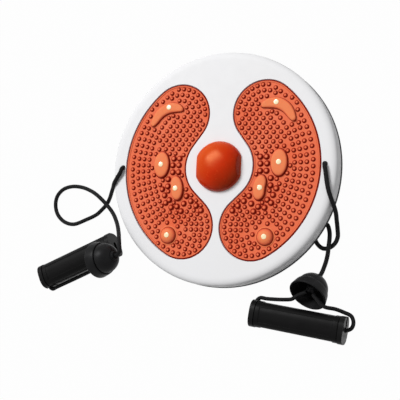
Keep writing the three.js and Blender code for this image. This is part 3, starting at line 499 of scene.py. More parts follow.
class Finish:
    """One procedural material: a Principled shader and the patterns that drive it."""

    def __init__(self, name, colour, roughness, **sockets):
        self.material = bpy.data.materials.new(name)
        self.material.use_nodes = True
        self.nodes = self.material.node_tree.nodes
        self.links = self.material.node_tree.links
        self.shader = self.nodes["Principled BSDF"]
        self.shader.inputs["Base Color"].default_value = (*colour, 1)
        self.shader.inputs["Roughness"].default_value = roughness
        for socket, value in sockets.items():
            self.shader.inputs[socket.replace("_", " ")].default_value = value
        self.normal = None
        coordinates = self.nodes.new("ShaderNodeTexCoord")
        self.place = coordinates.outputs["Object"]
        self.surface = coordinates.outputs["UV"]

    def scaled(self, source, scale):
        """Pattern coordinates stretched by three factors."""
        mapping = self.nodes.new("ShaderNodeMapping")
        mapping.inputs["Scale"].default_value = scale
        self.links.new(source, mapping.inputs["Vector"])
        return mapping.outputs["Vector"]

    def noise(self, scale, detail=3.0, rough=0.55, source=None):
        """Cloudy pattern with this many features to the metre."""
        node = self.nodes.new("ShaderNodeTexNoise")
        node.inputs["Scale"].default_value = scale
        node.inputs["Detail"].default_value = detail
        node.inputs["Roughness"].default_value = rough
        self.links.new(source or self.place, node.inputs["Vector"])
        return node.outputs["Fac"]

    def cells(self, scale):
        """Distance to the nearest of many scattered points."""
        node = self.nodes.new("ShaderNodeTexVoronoi")
        node.inputs["Scale"].default_value = scale
        self.links.new(self.place, node.inputs["Vector"])
        return node.outputs["Distance"]

    def tone(self):
        """The piece's painted shade and light, worked out with its shape and kept in its tone
        attribute.
        """
        node = self.nodes.new("ShaderNodeAttribute")
        node.attribute_name = "tone"
        return node.outputs["Fac"]

    def spread(self, value, low, high, to_low=0.0, to_high=1.0):
        """Value mapped from one range to another and held inside it."""
        node = self.nodes.new("ShaderNodeMapRange")
        node.inputs["From Min"].default_value = low
        node.inputs["From Max"].default_value = high
        node.inputs["To Min"].default_value = to_low
        node.inputs["To Max"].default_value = to_high
        self.links.new(value, node.inputs["Value"])
        return node.outputs["Result"]

    def colours(self, value, stops):
        """Colour ramp of (position, colour) stops."""
        node = self.nodes.new("ShaderNodeValToRGB")
        ramp = node.color_ramp
        while len(ramp.elements) < len(stops):
            ramp.elements.new(0.5)
        for element, (position, colour) in zip(ramp.elements, stops):
            element.position = position
            element.color = (*colour, 1)
        self.links.new(value, node.inputs["Fac"])
        return node.outputs["Color"]

    def mixed(self, factor, first, second):
        """Two colours or colour patterns mixed by a factor."""
        node = self.nodes.new("ShaderNodeMix")
        node.data_type = "RGBA"
        self.feed(factor, node.inputs["Factor"])
        self.feed(first, node.inputs[6])
        self.feed(second, node.inputs[7])
        return node.outputs[2]

    def maths(self, operation, first, second):
        """One mathematical operation on two values or patterns."""
        node = self.nodes.new("ShaderNodeMath")
        node.operation = operation
        self.feed(first, node.inputs[0])
        self.feed(second, node.inputs[1])
        return node.outputs["Value"]

    def feed(self, source, socket):
        """Link a pattern to a socket, or set a plain value on it."""
        if isinstance(source, bpy.types.NodeSocket):
            self.links.new(source, socket)
        elif isinstance(source, tuple):
            socket.default_value = (*source, 1)
        else:
            socket.default_value = source

    def paint(self, colour):
        """Drive the base colour."""
        self.links.new(colour, self.shader.inputs["Base Color"])

    def polish(self, value):
        """Drive the roughness."""
        self.links.new(value, self.shader.inputs["Roughness"])

    def relief(self, height, depth, strength):
        """Add a bump of this depth in metres on top of the ones before."""
        node = self.nodes.new("ShaderNodeBump")
        node.inputs["Strength"].default_value = strength
        node.inputs["Distance"].default_value = depth
        self.links.new(height, node.inputs["Height"])
        if self.normal is not None:
            self.links.new(self.normal, node.inputs["Normal"])
        self.normal = node.outputs["Normal"]
        self.links.new(self.normal, self.shader.inputs["Normal"])


def darker(colour, share):
    """Colour times a share."""
    return tuple(channel * share for channel in colour)


def moulded_plastic(name, colour, roughness, grain=0.00001, **sockets):
    """Injection-moulded plastic: fine spark grain, slow colour drift and handling marks."""
    finish = Finish(name, colour, roughness, **sockets)
    drift = finish.noise(14, 2)
    finish.paint(finish.mixed(finish.spread(drift, 0.35, 0.7), darker(colour, 0.93), colour))
    marks = finish.noise(1, 4, 0.6, finish.scaled(finish.place, (60, 260, 90)))
    finish.polish(finish.spread(marks, 0.3, 0.75, roughness - 0.05, roughness + 0.09))
    finish.relief(finish.noise(2600, 2), grain, 0.6)
    finish.relief(finish.noise(95, 2), grain * 2, 0.35)
    return finish.material


def shell_plastic(colour):
    """Satin white plate plastic with faint clouding and small scuffs."""
    finish = Finish("White shell plastic", colour, 0.5, Specular_IOR_Level=0.22)
    cloud = finish.noise(9, 3)
    warm = tuple(np.array(colour) * (0.985, 0.98, 0.97))
    finish.paint(finish.mixed(finish.spread(cloud, 0.35, 0.75), colour, warm))
    scuffs = finish.noise(90, 5, 0.65)
    finish.polish(finish.spread(scuffs, 0.42, 0.72, 0.46, 0.58))
    finish.relief(finish.noise(1900, 2), 0.000008, 0.5)
    finish.relief(finish.noise(55, 2), 0.00003, 0.25)
    return finish.material


def pad_rubber(colour, shade):
    """Soft orange rubber: painted red-brown shade where it is steep or sunk, plain on the face,
    painted light on its tops, with slow clouds of a redder orange."""
    finish = Finish(
        "Orange pad rubber", colour, 0.6, Specular_IOR_Level=0.1,
        Subsurface_Weight=0.08, Subsurface_Scale=0.0012,
    )
    finish.shader.inputs["Subsurface Radius"].default_value = (1.0, 0.35, 0.15)
    cloud = finish.spread(finish.noise(26, 3), 0.35, 0.72)
    redder = tuple(np.array(colour) * (0.95, 0.76, 0.66))
    body = finish.mixed(cloud, colour, redder)
    # Painted light for the tops of pegs and islands, and painted shade for steep and sunk places, both
    # driven by the tone attribute
    light = tuple(np.minimum(np.array(colour) * (1.02, 1.3, 1.1), 1))
    deep = tuple(0.78 * a + 0.22 * b for a, b in zip(shade, colour))
    painted_top_light = finish.mixed(finish.spread(finish.tone(), 0.78, 1.0), body, light)
    painted_shade_blend = finish.mixed(finish.spread(finish.tone(), 0.0, 0.4), shade, deep)
    finish.paint(finish.mixed(finish.spread(finish.tone(), 0.4, 0.78), painted_shade_blend, painted_top_light))
    finish.polish(finish.spread(finish.noise(240, 3), 0.3, 0.75, 0.5, 0.68))
    finish.relief(finish.noise(1500, 3), 0.000014, 0.7)
    finish.relief(finish.cells(620), 0.00001, 0.4)
    return finish.material


def magnet_ceramic(colour):
    """Cream lacquered magnet with a fine speckle."""
    finish = Finish("Cream magnet", colour, 0.28, Coat_Weight=0.5, Coat_Roughness=0.08)
    speckle = finish.spread(finish.noise(1400, 3), 0.42, 0.66)
    finish.paint(finish.mixed(speckle, colour, darker(colour, 0.86)))
    finish.polish(finish.spread(finish.noise(500, 2), 0.3, 0.7, 0.2, 0.36))
    finish.relief(finish.noise(2200, 2), 0.000008, 0.5)
    return finish.material


def dome_acrylic(colour, glow):
    """Red acrylic over the pivot: painted shade and light run from deep red on one side to
    orange-red on the other, with a wide soft gloss and a painted lighter line at its foot."""
    finish = Finish(
        "Red dome acrylic", colour, 0.27, IOR=1.49,
        Specular_IOR_Level=0.3, Specular_Tint=(1, 0.5, 0.2, 1),
        Subsurface_Weight=0.1, Subsurface_Scale=0.003,
    )
    finish.shader.inputs["Subsurface Radius"].default_value = (1.0, 0.18, 0.05)
    # Painted shade and light by object position: deep red on the side away from the lamp, orange-red on
    # the side toward it, with a little random drift
    split = finish.nodes.new("ShaderNodeSeparateXYZ")
    finish.links.new(finish.place, split.inputs["Vector"])
    rising = finish.maths("MULTIPLY", split.outputs["Y"], 0.8)
    across = finish.maths("SUBTRACT", rising, split.outputs["X"])
    painted_light_slope = finish.maths("ADD", across, finish.spread(finish.noise(55, 3), 0.3, 0.7, -0.004, 0.004))
    body = finish.colours(finish.spread(painted_light_slope, -0.034, 0.03), [
        (0.0, darker(colour, 0.5)), (0.45, colour), (1.0, glow),
    ])
    finish.paint(finish.mixed(finish.spread(finish.tone(), 0.0, 1.0, 0.0, 0.8), body, glow))
    finish.polish(finish.spread(finish.noise(160, 3), 0.35, 0.75, 0.22, 0.3))
    finish.relief(finish.noise(75, 2), 0.00003, 0.25)
    return finish.material


def foot_rubber(colour):
    """Dull black rubber with a dusty bloom and a coarse grain."""
    finish = Finish("Black foot rubber", colour, 0.78)
    bloom = finish.spread(finish.noise(120, 4), 0.45, 0.75)
    finish.paint(finish.mixed(bloom, colour, tuple(channel + 0.02 for channel in colour)))
    finish.polish(finish.spread(finish.noise(300, 3), 0.3, 0.7, 0.66, 0.9))
    finish.relief(finish.noise(900, 3), 0.00005, 0.7)
    return finish.material


def braided_cord(colour, diameter):
    """Black braid: two families of yarn crossing round the cord, from its UV lengths."""
    finish = Finish(
        "Black braided cord", colour, 0.62, Specular_IOR_Level=0.1,
        Sheen_Weight=0.04, Sheen_Roughness=0.4,
    )
    yarns = 10
    around = math.pi * diameter / yarns
    pitch = around * 1.6
    lifts = []
    for way in (1, -1):
        turned = finish.nodes.new("ShaderNodeSeparateXYZ")
        finish.links.new(finish.surface, turned.inputs["Vector"])
        along = finish.maths("MULTIPLY", turned.outputs["X"], 2 * math.pi / pitch)
        across = finish.maths("MULTIPLY", turned.outputs["Y"], way * 2 * math.pi / around)
        lifts.append(finish.maths("SINE", finish.maths("ADD", along, across), 0.0))
    weave = finish.spread(finish.maths("MULTIPLY", lifts[0], lifts[1]), -1, 1)
    fuzz = finish.noise(3800, 2)
    # Colour follows the weave: painted shade between the yarns and painted light on their crowns,
    # varied by random fuzz
    tone = finish.maths("MULTIPLY", weave, finish.spread(fuzz, 0.3, 0.7, 0.7, 1.0))
    finish.paint(finish.mixed(tone, darker(colour, 0.5), tuple(channel * 1.6 for channel in colour)))
    finish.polish(finish.spread(fuzz, 0.3, 0.7, 0.52, 0.72))
    finish.relief(weave, 0.00018, 0.8)
    finish.relief(fuzz, 0.00003, 0.5)
    return finish.material


def cover_plastic(colour, roughness):
    """Satin black bell plastic: faint orange-peel, patches of dust and rubbed places."""
    finish = Finish("Black cover plastic", colour, roughness, Specular_IOR_Level=0.08)
    dust = finish.spread(finish.noise(70, 4), 0.45, 0.75)
    finish.paint(finish.mixed(dust, colour, tuple(channel * 1.7 for channel in colour)))
    finish.polish(finish.spread(finish.noise(210, 3), 0.3, 0.75, roughness - 0.06, roughness + 0.1))
    finish.relief(finish.noise(620, 2), 0.00002, 0.5)
    finish.relief(finish.noise(60, 2), 0.00005, 0.25)
    return finish.material


def grip_plastic(colour, roughness):
    """Black bar plastic with a fine leather grain and streaks polished by hands."""
    finish = Finish("Black grip plastic", colour, roughness, Specular_IOR_Level=0.06)
    drift = finish.spread(finish.noise(26, 3), 0.35, 0.7)
    finish.paint(finish.mixed(drift, darker(colour, 0.7), colour))
    streaks = finish.noise(1, 4, 0.6, finish.scaled(finish.place, (70, 200, 200)))
    wear = finish.spread(streaks, 0.35, 0.7)
    finish.polish(finish.spread(wear, 0, 1, roughness - 0.08, roughness + 0.1))
    finish.relief(finish.cells(1150), 0.00003, 0.45)
    finish.relief(finish.noise(130, 2), 0.00004, 0.3)
    return finish.material


def plated_steel(name, colour, roughness):
    """Zinc-plated steel with turning marks and small stains."""
    finish = Finish(name, colour, roughness, Metallic=1.0)
    stain = finish.spread(finish.noise(260, 4), 0.45, 0.75)
    finish.paint(finish.mixed(stain, colour, darker(colour, 0.72)))
    finish.polish(finish.spread(finish.noise(420, 3), 0.3, 0.75, roughness - 0.05, roughness + 0.15))
    finish.relief(finish.noise(1, 2, 0.5, finish.scaled(finish.place, (300, 300, 4200))), 0.000012, 0.6)
    return finish.material


# Settings

def length(name, description, default):
    """Property that holds a size in metres."""
    return FloatProperty(
        name=name, description=description, default=default, unit="LENGTH", precision=4,
    )


def colour(name, description, default):
    """Property that holds a colour."""
    return FloatVectorProperty(
        name=name, description=description, default=default, subtype="COLOR", size=3, min=0, max=1,
    )


def watts(name, description, default):
    """Property that holds the power of a lamp."""
    return FloatProperty(name=name, description=description, default=default, unit="POWER")


class StageSettings(bpy.types.PropertyGroup):
    """Camera, floor and lights."""

    floor_size: length("Floor size", "Width of the pale floor", 6.0)
    floor_colour: colour("Floor colour", "Colour of the floor where light falls on it", (0.3, 0.3, 0.3))
    floor_glow: FloatProperty(
        name="Floor glow", description="Share of plain white that the camera and reflections see",
        default=0.98, min=0, max=1, subtype="FACTOR",
    )
    key_power: watts("Key power", "Soft light above", 292.0)
    fill_power: watts("Fill power", "Weak front light", 0.6)
    sky_level: FloatProperty(name="Sky level", description="Even light from all round", default=0.32)


class PlateSettings(bpy.types.PropertyGroup):
    """Turning top plate."""

    radius: length("Radius", "Outer radius of the plate", float(PLATE_HIGH[0]))
    colour: colour("Colour", "White of the shell", (0.8, 0.8, 0.815))


class PadSettings(bpy.types.PropertyGroup):
    """Foot pads with their pegs and islands."""

    lip_width: length("Lip width", "Width of the raised lip round the pad", 0.0023)
    lip_height: length("Lip height", "Height of the lip above the pad face", 0.0005)
    peg_radius: length("Peg radius", "Radius at the foot of a small peg", 0.0024)
    peg_height: length("Peg height", "Height of a small peg", 0.0019)
    big_peg_radius: length("Big peg radius", "Radius at the foot of a big peg", 0.0032)
    big_peg_height: length("Big peg height", "Height of a big peg", 0.0028)
    colour: colour("Colour", "Orange of the rubber", (0.82, 0.175, 0.08))
    # Painted shade: the red-brown laid on steep and sunk places of the pads
    shade: colour("Shade", "Red-brown of steep and sunk places", (0.25, 0.005, 0.0005))


class MagnetSettings(bpy.types.PropertyGroup):
    """Round magnets in the islands."""

    radius: length("Radius", "Radius of a magnet", 0.0031)
    stand: length("Stand", "Height above the island", 0.0005)
    thickness: length("Thickness", "Thickness of a magnet", 0.002)
    colour: colour("Colour", "Cream of the magnets", (0.98, 0.82, 0.5))


class DomeSettings(bpy.types.PropertyGroup):
    """Red dome over the pivot."""

    radius: length("Radius", "Radius of the dome", float(DOME_HIGH[1]))
    flat: length("Flat", "Distance of the two side flats from the axis", float(DOME_HIGH[0]))
    lean: FloatProperty(
        name="Lean", description="Inward lean of the flats, run over rise", default=0.36,
    )
    wall: length("Wall", "Thickness of the dome", 0.0042)
    colour: colour("Colour", "Red of the dome", (0.55, 0.022, 0.0015))
    # Painted light: the lighter orange laid on one side of the dome and at its foot
    glow: colour("Glow", "Lighter orange on one side and at the foot", (0.64, 0.07, 0.005))


class BaseSettings(bpy.types.PropertyGroup):
    """Base plate, feet and race."""

    radius: length("Radius", "Radius of the base plate", float(BASE_HIGH[0]) + BASE_OVERHANG)
    ribs: IntProperty(name="Ribs", description="Radial ribs under the base", default=12)
    colour: colour("Colour", "Black of the base", (0.012, 0.012, 0.013))
    rubber: colour("Rubber", "Black of the feet", (0.014, 0.014, 0.015))


class CordSettings(bpy.types.PropertyGroup):
    """Cords, straps and knots."""

    diameter: length("Diameter", "Thickness of the cord", CORD_DIAMETER)
    strap_diameter: length("Strap diameter", "Thickness of the strap", STRAP_DIAMETER)
    colour: colour("Colour", "Black of the braid", (0.006, 0.006, 0.0065))


class CoverSettings(bpy.types.PropertyGroup):
    """Bell covers."""

    radius: length("Cap radius", "Radius of the domed cap", COVER_CAP_RADIUS)
    mouth: length("Mouth radius", "Radius of the flared mouth", COVER_MOUTH)
    collar_radius: length("Collar radius", "Radius of the collar round the cord", 0.0054)
    colour: colour("Colour", "Black of the covers", (0.008, 0.008, 0.0085))


class GripSettings(bpy.types.PropertyGroup):
    """Bar grips."""

    span: length("Length", "Length over both collars", 0.107)
    half: length("Half width", "Half the width of the rounded square bar", 0.015)
    collar: length("Collar", "Length of an end collar", 0.0056)
    panel_length: length("Panel length", "Length of the sunk panels", 0.084)
    panel_width: length("Panel width", "Width of the sunk panels", 0.017)
    panel_depth: length("Panel depth", "Depth of the sunk panels", 0.0007)
    colour: colour("Colour", "Black of the bar", (0.0055, 0.0053, 0.0055))


SETTINGS = {
    "disc_stage": StageSettings,
    "disc_plate": PlateSettings,
    "disc_pads": PadSettings,
    "disc_magnets": MagnetSettings,
    "disc_dome": DomeSettings,
    "disc_base": BaseSettings,
    "disc_cords": CordSettings,
    "disc_covers": CoverSettings,
    "disc_grips": GripSettings,
}


# Shapes of the pads

def pad_outline(grow):
    """Outline (n, 2) of the right pad, grown by a distance: outer arc, toe lobe, straight,
    inner arc, straight and heel lobe, each with a fixed count so outlines match point to point."""
    inner = PAD_INNER - grow
    lobe = PAD_OUTER - LOBE_CIRCLE + grow
    slant = math.acos((inner + lobe) / LOBE_CIRCLE)
    toe_centre = (LOBE_CIRCLE * math.cos(LOBE_UP), LOBE_CIRCLE * math.sin(LOBE_UP))
    heel_centre = (LOBE_CIRCLE * math.cos(LOBE_LOW), LOBE_CIRCLE * math.sin(LOBE_LOW))
    outer = arc((0, 0), PAD_OUTER + grow, LOBE_LOW, LOBE_UP, 120)
    toe = arc(toe_centre, lobe, LOBE_UP, LOBE_UP - slant + math.pi, 72)
    concave = arc((0, 0), inner, LOBE_UP - slant, LOBE_LOW + slant, 48)
    heel = arc(heel_centre, lobe, LOBE_LOW + slant + math.pi, LOBE_LOW + 2 * math.pi, 72)
    share = np.linspace(0, 1, 10)[1:-1, None]
    toe_straight = toe[-1] * (1 - share) + concave[0] * share
    heel_straight = concave[-1] * (1 - share) + heel[0] * share
    return np.vstack([outer[:-1], toe, toe_straight, concave, heel_straight, heel[:-1]])


def nearest(points, others):
    """Distance from each point to the nearest of the others."""
    gaps = np.linalg.norm(points[:, None, :] - others[None, :, :], axis=-1)
    return gaps.min(axis=1)


def inside(points, outline):
    """Whether each point lies inside a closed outline, by counting crossings."""
    x, y = points[:, :1], points[:, 1:]
    x0, y0 = outline[:, 0], outline[:, 1]
    x1, y1 = np.roll(x0, -1), np.roll(y0, -1)
    rise = np.where(y1 == y0, 1, y1 - y0)
    crossed = ((y0 > y) != (y1 > y)) & (x < (x1 - x0) * (y - y0) / rise + x0)
    return crossed.sum(axis=1) % 2 == 1


def along_outline(outline, spacing):
    """Points at an even spacing along a closed outline."""
    closed = np.vstack([outline, outline[:1]])
    travelled = distances(closed)
    count = int(travelled[-1] / spacing)
    stations = np.arange(count) * (travelled[-1] / count)
    return np.column_stack([np.interp(stations, travelled, closed[:, k]) for k in range(2)])


def polar(radius, angle):
    """Points from radii and angles about the axis."""
    return np.column_stack([radius * np.cos(angle), radius * np.sin(angle)])


def clear_of_islands(points):
    """Whether each point keeps clear of every island."""
    free = np.ones(len(points), bool)
    for island in (MIDDLE_OVAL, INSTEP_BEAN, HEEL_KNOB):
        reach = np.array(island["half"]) + ISLAND_CLEAR
        free &= np.linalg.norm((points - island["centre"]) / reach, axis=1) > 1
    line, half = toe_stations(60)
    gaps = np.linalg.norm(points[:, None, :] - line[None, :, :], axis=-1) - half[None, :]
    return free & (gaps.min(axis=1) > ISLAND_CLEAR)


def peg_places():
    """Centres (n, 2) of the small pegs. One row follows the rim and five run inside it, rings
    follow the two lobes, a row follows the hollow side, and a staggered grid fills the rest.
    A later family leaves out the pegs that would stand too near an earlier one. Pegs that
    are still crowded are then pushed apart, and single pegs fill the bare places."""
    outline = pad_outline(0)
    toe_centre = polar(LOBE_CIRCLE, np.array([LOBE_UP]))
    heel_centre = polar(LOBE_CIRCLE, np.array([LOBE_LOW]))
    steps = np.arange(-16, 15)
    families = [polar(RIM_ROW, RIM_ROW_PHASE + RIM_ROW_STEP * steps[(steps > -15) & (steps < 13)])]
    for radius in HEEL_RINGS:
        count = int(2 * math.pi * radius / PEG_PITCH)
        ring = circle(heel_centre[0], radius, count)
        families.append(ring[np.linalg.norm(ring, axis=1) < HEEL_RINGS_REACH])
    for radius in TOE_RINGS:
        count = int(2 * math.pi * radius / (PEG_PITCH + TOE_RINGS_SLACK))
        ring = circle(toe_centre[0], radius, count)
        reach = np.linalg.norm(ring, axis=1)
        families.append(ring[(ring[:, 1] > TOE_RINGS_FROM) & (reach < TOE_RINGS_REACH)])
    border = along_outline(pad_outline(-INNER_ROW_INSET), INNER_ROW_PITCH)
    bearing = np.arctan2(border[:, 1], border[:, 0])
    rimward = (bearing > RIM_SIDE[0]) & (bearing < RIM_SIDE[1])
    families.append(border[~(rimward & (np.linalg.norm(border, axis=1) > RIM_SIDE_FROM))])
    for radius in OUTER_ROWS:
        angle = OUTER_ROW_PHASE + OUTER_ROW_STEP * steps
        limit = LONG_ROWS_END if radius > LONG_ROWS_FROM else SHORT_ROWS_END
        families.append(polar(radius, angle[angle < limit]))
    column, row = np.meshgrid(np.arange(-2, 16), np.arange(-2, 16))
    stagger_x = STAGGER_WIDTH * (column + 0.5 * (row % 2))
    grid = np.column_stack([stagger_x.ravel(), (STAGGER_RISE * row).ravel()])
    families.append(grid[(grid[:, 0] < STAGGER_SIDE) | (grid[:, 1] > STAGGER_TOE)])
    kept = BIG_PEGS.copy()
    counts = []
    for family in families:
        good = inside(family, outline) & (nearest(family, outline) > PEG_EDGE)
        family = family[good & clear_of_islands(family)]
        family = family[nearest(family, kept) > PEG_CLEAR]
        kept = np.vstack([kept, family])
        counts.append(len(family))
    still = len(BIG_PEGS) + counts[0]
    return filled_out(spread_out(kept, still, outline), outline)[len(BIG_PEGS):]


def spread_out(places, still, outline):
    """Push pegs nearer than a set distance apart by a third of what they lack, many times,
    but keep the first ones still and move none over the outline or onto an island."""
    places = places.copy()
    for _ in range(SPREAD_ROUNDS):
        away = places[:, None, :] - places[None, :, :]
        gap = np.linalg.norm(away, axis=-1)
        lack = np.where((gap > 0) & (gap < PEG_APART), (PEG_APART - gap) / np.maximum(gap, WELD), 0)
        moved = places + (away * lack[..., None]).sum(axis=1) / 3
        good = inside(moved, outline) & (nearest(moved, outline) > PEG_EDGE) & clear_of_islands(moved)
        good[:still] = False
        places[good] = moved[good]
    return places


def filled_out(places, outline):
    """Add a peg wherever one still fits between the others, the roomiest place first."""
    low, high = outline.min(axis=0), outline.max(axis=0)
    x, y = np.meshgrid(*(np.arange(a, b, PEG_SEARCH_STEP) for a, b in zip(low, high)))
    spots = np.column_stack([x.ravel(), y.ravel()])
    good = inside(spots, outline) & (nearest(spots, outline) > PEG_EDGE)
    spots = spots[good & clear_of_islands(spots)]
    room = nearest(spots, places)
    while room.max() > PEG_ROOM:
        spot = spots[room.argmax()]
        places = np.vstack([places, spot])
        room = np.minimum(room, np.linalg.norm(spots - spot, axis=1))
    return places


def add_pegs(shell, places, radius, height, sides):
    """Round pegs on the pad face: a small fillet, a leaning flank and a rounded top,
    as one turned profile copied to every place."""
    profile = np.array([
        (0.0, -0.15), (1.3, -0.15), (1.22, 0.02), (1.02, 0.1), (0.88, 0.42), (0.74, 0.78),
        (0.56, 0.96), (0.3, 1.0), (0.0, 1.0),
    ]) * (radius, height)
    # Tone along the profile: painted shade down the flank, face colour at the fillet, painted light on
    # the top
    tone = np.array([0.6, 0.75, 0.45, 0.1, 0.0, 0.1, 0.6, 0.82, 0.9])
    one = turned_points(profile + (0, PAD_FACE), sides)
    spot = np.column_stack([places, np.zeros(len(places))])
    points = one[None] + spot[:, None, None, :]
    rows, columns = one.shape[:2]
    i, j = np.meshgrid(np.arange(rows - 1), np.arange(columns), indexing="ij")
    i, j = i.ravel(), j.ravel()
    faces = np.stack([
        i * columns + j, (i + 1) * columns + j,
        (i + 1) * columns + (j + 1) % columns, i * columns + (j + 1) % columns,
    ], axis=1)
    faces = faces[None] + (np.arange(len(places)) * rows * columns)[:, None, None]
    tones = np.broadcast_to(tone[None, :, None], (len(places), rows, columns))
    shell.add(points.reshape(-1, 3), faces.reshape(-1, 4), tones.reshape(-1))


def toe_stations(count):
    """Centre line (count, 2) and half widths of the toe crescent, from its five sections,
    joined by smooth curves through the sections."""
    knots = np.column_stack([TOE_LINE, TOE_HALF_WIDTHS])
    across = -np.cos(np.linspace(0, np.pi, count))
    curve = smooth_route(knots, path_length(knots) / 400)
    where = np.linspace(0, 1, len(curve))
    at = (across + 1) / 2
    line = np.column_stack([np.interp(at, where, curve[:, k]) for k in range(2)])
    half = np.interp(at, where, curve[:, 2]) * np.sqrt(np.maximum(1 - np.abs(across) ** 6, 0))
    return line, half


def add_toe_crescent(shell):
    """Crescent under the toes: a crown with round edges carried along the toe line.
    Height over the face is the full height times (1 - |s|^5)^(1/2) across each section."""
    line, half = toe_stations(64)
    along = np.gradient(line, axis=0)
    along /= np.linalg.norm(along, axis=1)[:, None]
    across = np.column_stack([-along[:, 1], along[:, 0]])
    turn = np.linspace(0, np.pi, 33)
    s = -np.cos(turn)
    rise = np.maximum(1 - np.abs(s) ** 5, 0) ** 0.5
    plan = line[:, None, :] + across[:, None, :] * (half[:, None] * s[None, :])[..., None]
    ends = np.clip(half / half.max() * 2.2, 0, 1)
    root = PAD_FACE - TOE_ROOT
    height = root + (TOE_HEIGHT + TOE_ROOT) * rise[None, :] * ends[:, None] ** 0.5
    # Tone paints shade at the crescent's edges, along its thin ends and on its underside
    tone = np.clip(rise[None, :] * 1.5 - 0.45, 0, 1) * np.clip(ends[:, None] * 1.5 - 0.3, 0, 1)
    points = np.concatenate([plan, height[..., None]], axis=-1)
    under = points[:, ::-1].copy()
    under[..., 2] = root
    closed = np.concatenate([points, under[:, 1:-1]], axis=1)
    tone = np.concatenate([tone, np.zeros_like(tone[:, 1:-1])], axis=1)
    shell.grid(closed, wrap_v=True, tone=tone)


def add_island(shell, island, profile, tones, waist=0.0):
    """Island standing on the pad: (share of half width, share of height) pairs carried round
    an oval. waist draws the hollow side in by that share, for the bean."""
    angle = round_angles(72)
    draw = 1 - waist * np.exp(-((np.mod(angle + np.pi, 2 * np.pi) - np.pi) / 0.5) ** 2)
    half_x, half_y = island["half"]
    ring = np.column_stack([np.cos(angle) * draw * half_x, np.sin(angle) * half_y])
    turn = math.radians(island["turn"])
    spin = np.array([(math.cos(turn), -math.sin(turn)), (math.sin(turn), math.cos(turn))])
    profile = np.asarray(profile, float)
    plan = (ring[None] * profile[:, :1, None]) @ spin.T + np.array(island["centre"])
    height = PAD_FACE + profile[:, 1] * island["height"]
    height = np.broadcast_to(height[:, None, None], plan.shape[:2] + (1,))
    points = np.concatenate([plan, height], axis=-1)
    shell.grid(points, wrap_v=True, tone=np.asarray(tones, float)[:, None])


def pad_shell(s):
    """Whole right pad: lip carried round the outline, face, pegs, islands and crescent."""
    shell = Shell()
    foot = PLATE_TOP - PAD_RECESS + PAD_BED
    lip_top = PAD_FACE + s.lip_height
    steps = [
        # Third value of each step is its tone: painted shade on the outer flank beside the gap to the
        # plate, painted light on the lip top
        (0.0, foot, 0.0), (0.0, PAD_FACE - 0.0012, 0.0), (-0.0004, PAD_FACE - 0.0004, 0.0),
        (-0.0013, lip_top - 0.0002, 0.05), (-0.0018, lip_top, 0.75),
        (-0.0005 - s.lip_width * 0.8, lip_top, 0.9), (-0.0005 - s.lip_width, lip_top - 0.0001, 0.8),
        (-0.0007 - s.lip_width, PAD_FACE + 0.00005, 0.5), (-0.0012 - s.lip_width, PAD_FACE, 0.8),
    ]
    rings = np.stack([at_height(pad_outline(grow), z) for grow, z, _ in steps])
    shell.grid(rings, wrap_v=True, tone=np.array([tone for _, _, tone in steps])[:, None])
    shell.flat([pad_outline(steps[-1][0])], PAD_FACE, 0.8)
    shell.flat([pad_outline(0)], foot, 0.0)
    add_pegs(shell, peg_places(), s.peg_radius, s.peg_height, 12)
    add_pegs(shell, BIG_PEGS, s.big_peg_radius, s.big_peg_height, 20)
    add_toe_crescent(shell)
    # Island tones paint shade round the foot and light on the top
    round_top = [(0, -0.06), (1.06, -0.06), (1.05, 0.0), (1.0, 0.06), (0.985, 0.4), (0.95, 0.7),
                 (0.86, 0.9), (0.7, 0.975), (0.45, 1.0), (0, 1.0)]
    tones = [0, 0.3, 0.25, 0.0, 0.1, 0.6, 0.95, 1, 1, 1]
    add_island(shell, MIDDLE_OVAL, round_top, tones)
    add_island(shell, INSTEP_BEAN, round_top, tones, waist=0.2)
    # The knob's tones paint shade round its foot and flank, a light ring just above the foot, and light
    # on its top
    knob = [(0, -0.06), (1.04, -0.06), (1.03, 0.04), (1.0, 0.1), (0.93, 0.12), (0.9, 0.1), (0.88, 0.2),
            (0.84, 0.4), (0.76, 0.62), (0.62, 0.83), (0.46, 0.95), (0.36, 1.0), (0, 1.0)]
    add_island(shell, HEEL_KNOB, knob, [0, 0.4, 0.8, 1, 0.9, 0.2, 0.25, 0.45, 0.7, 0.9, 1, 1, 1])
    return shell


# Operators

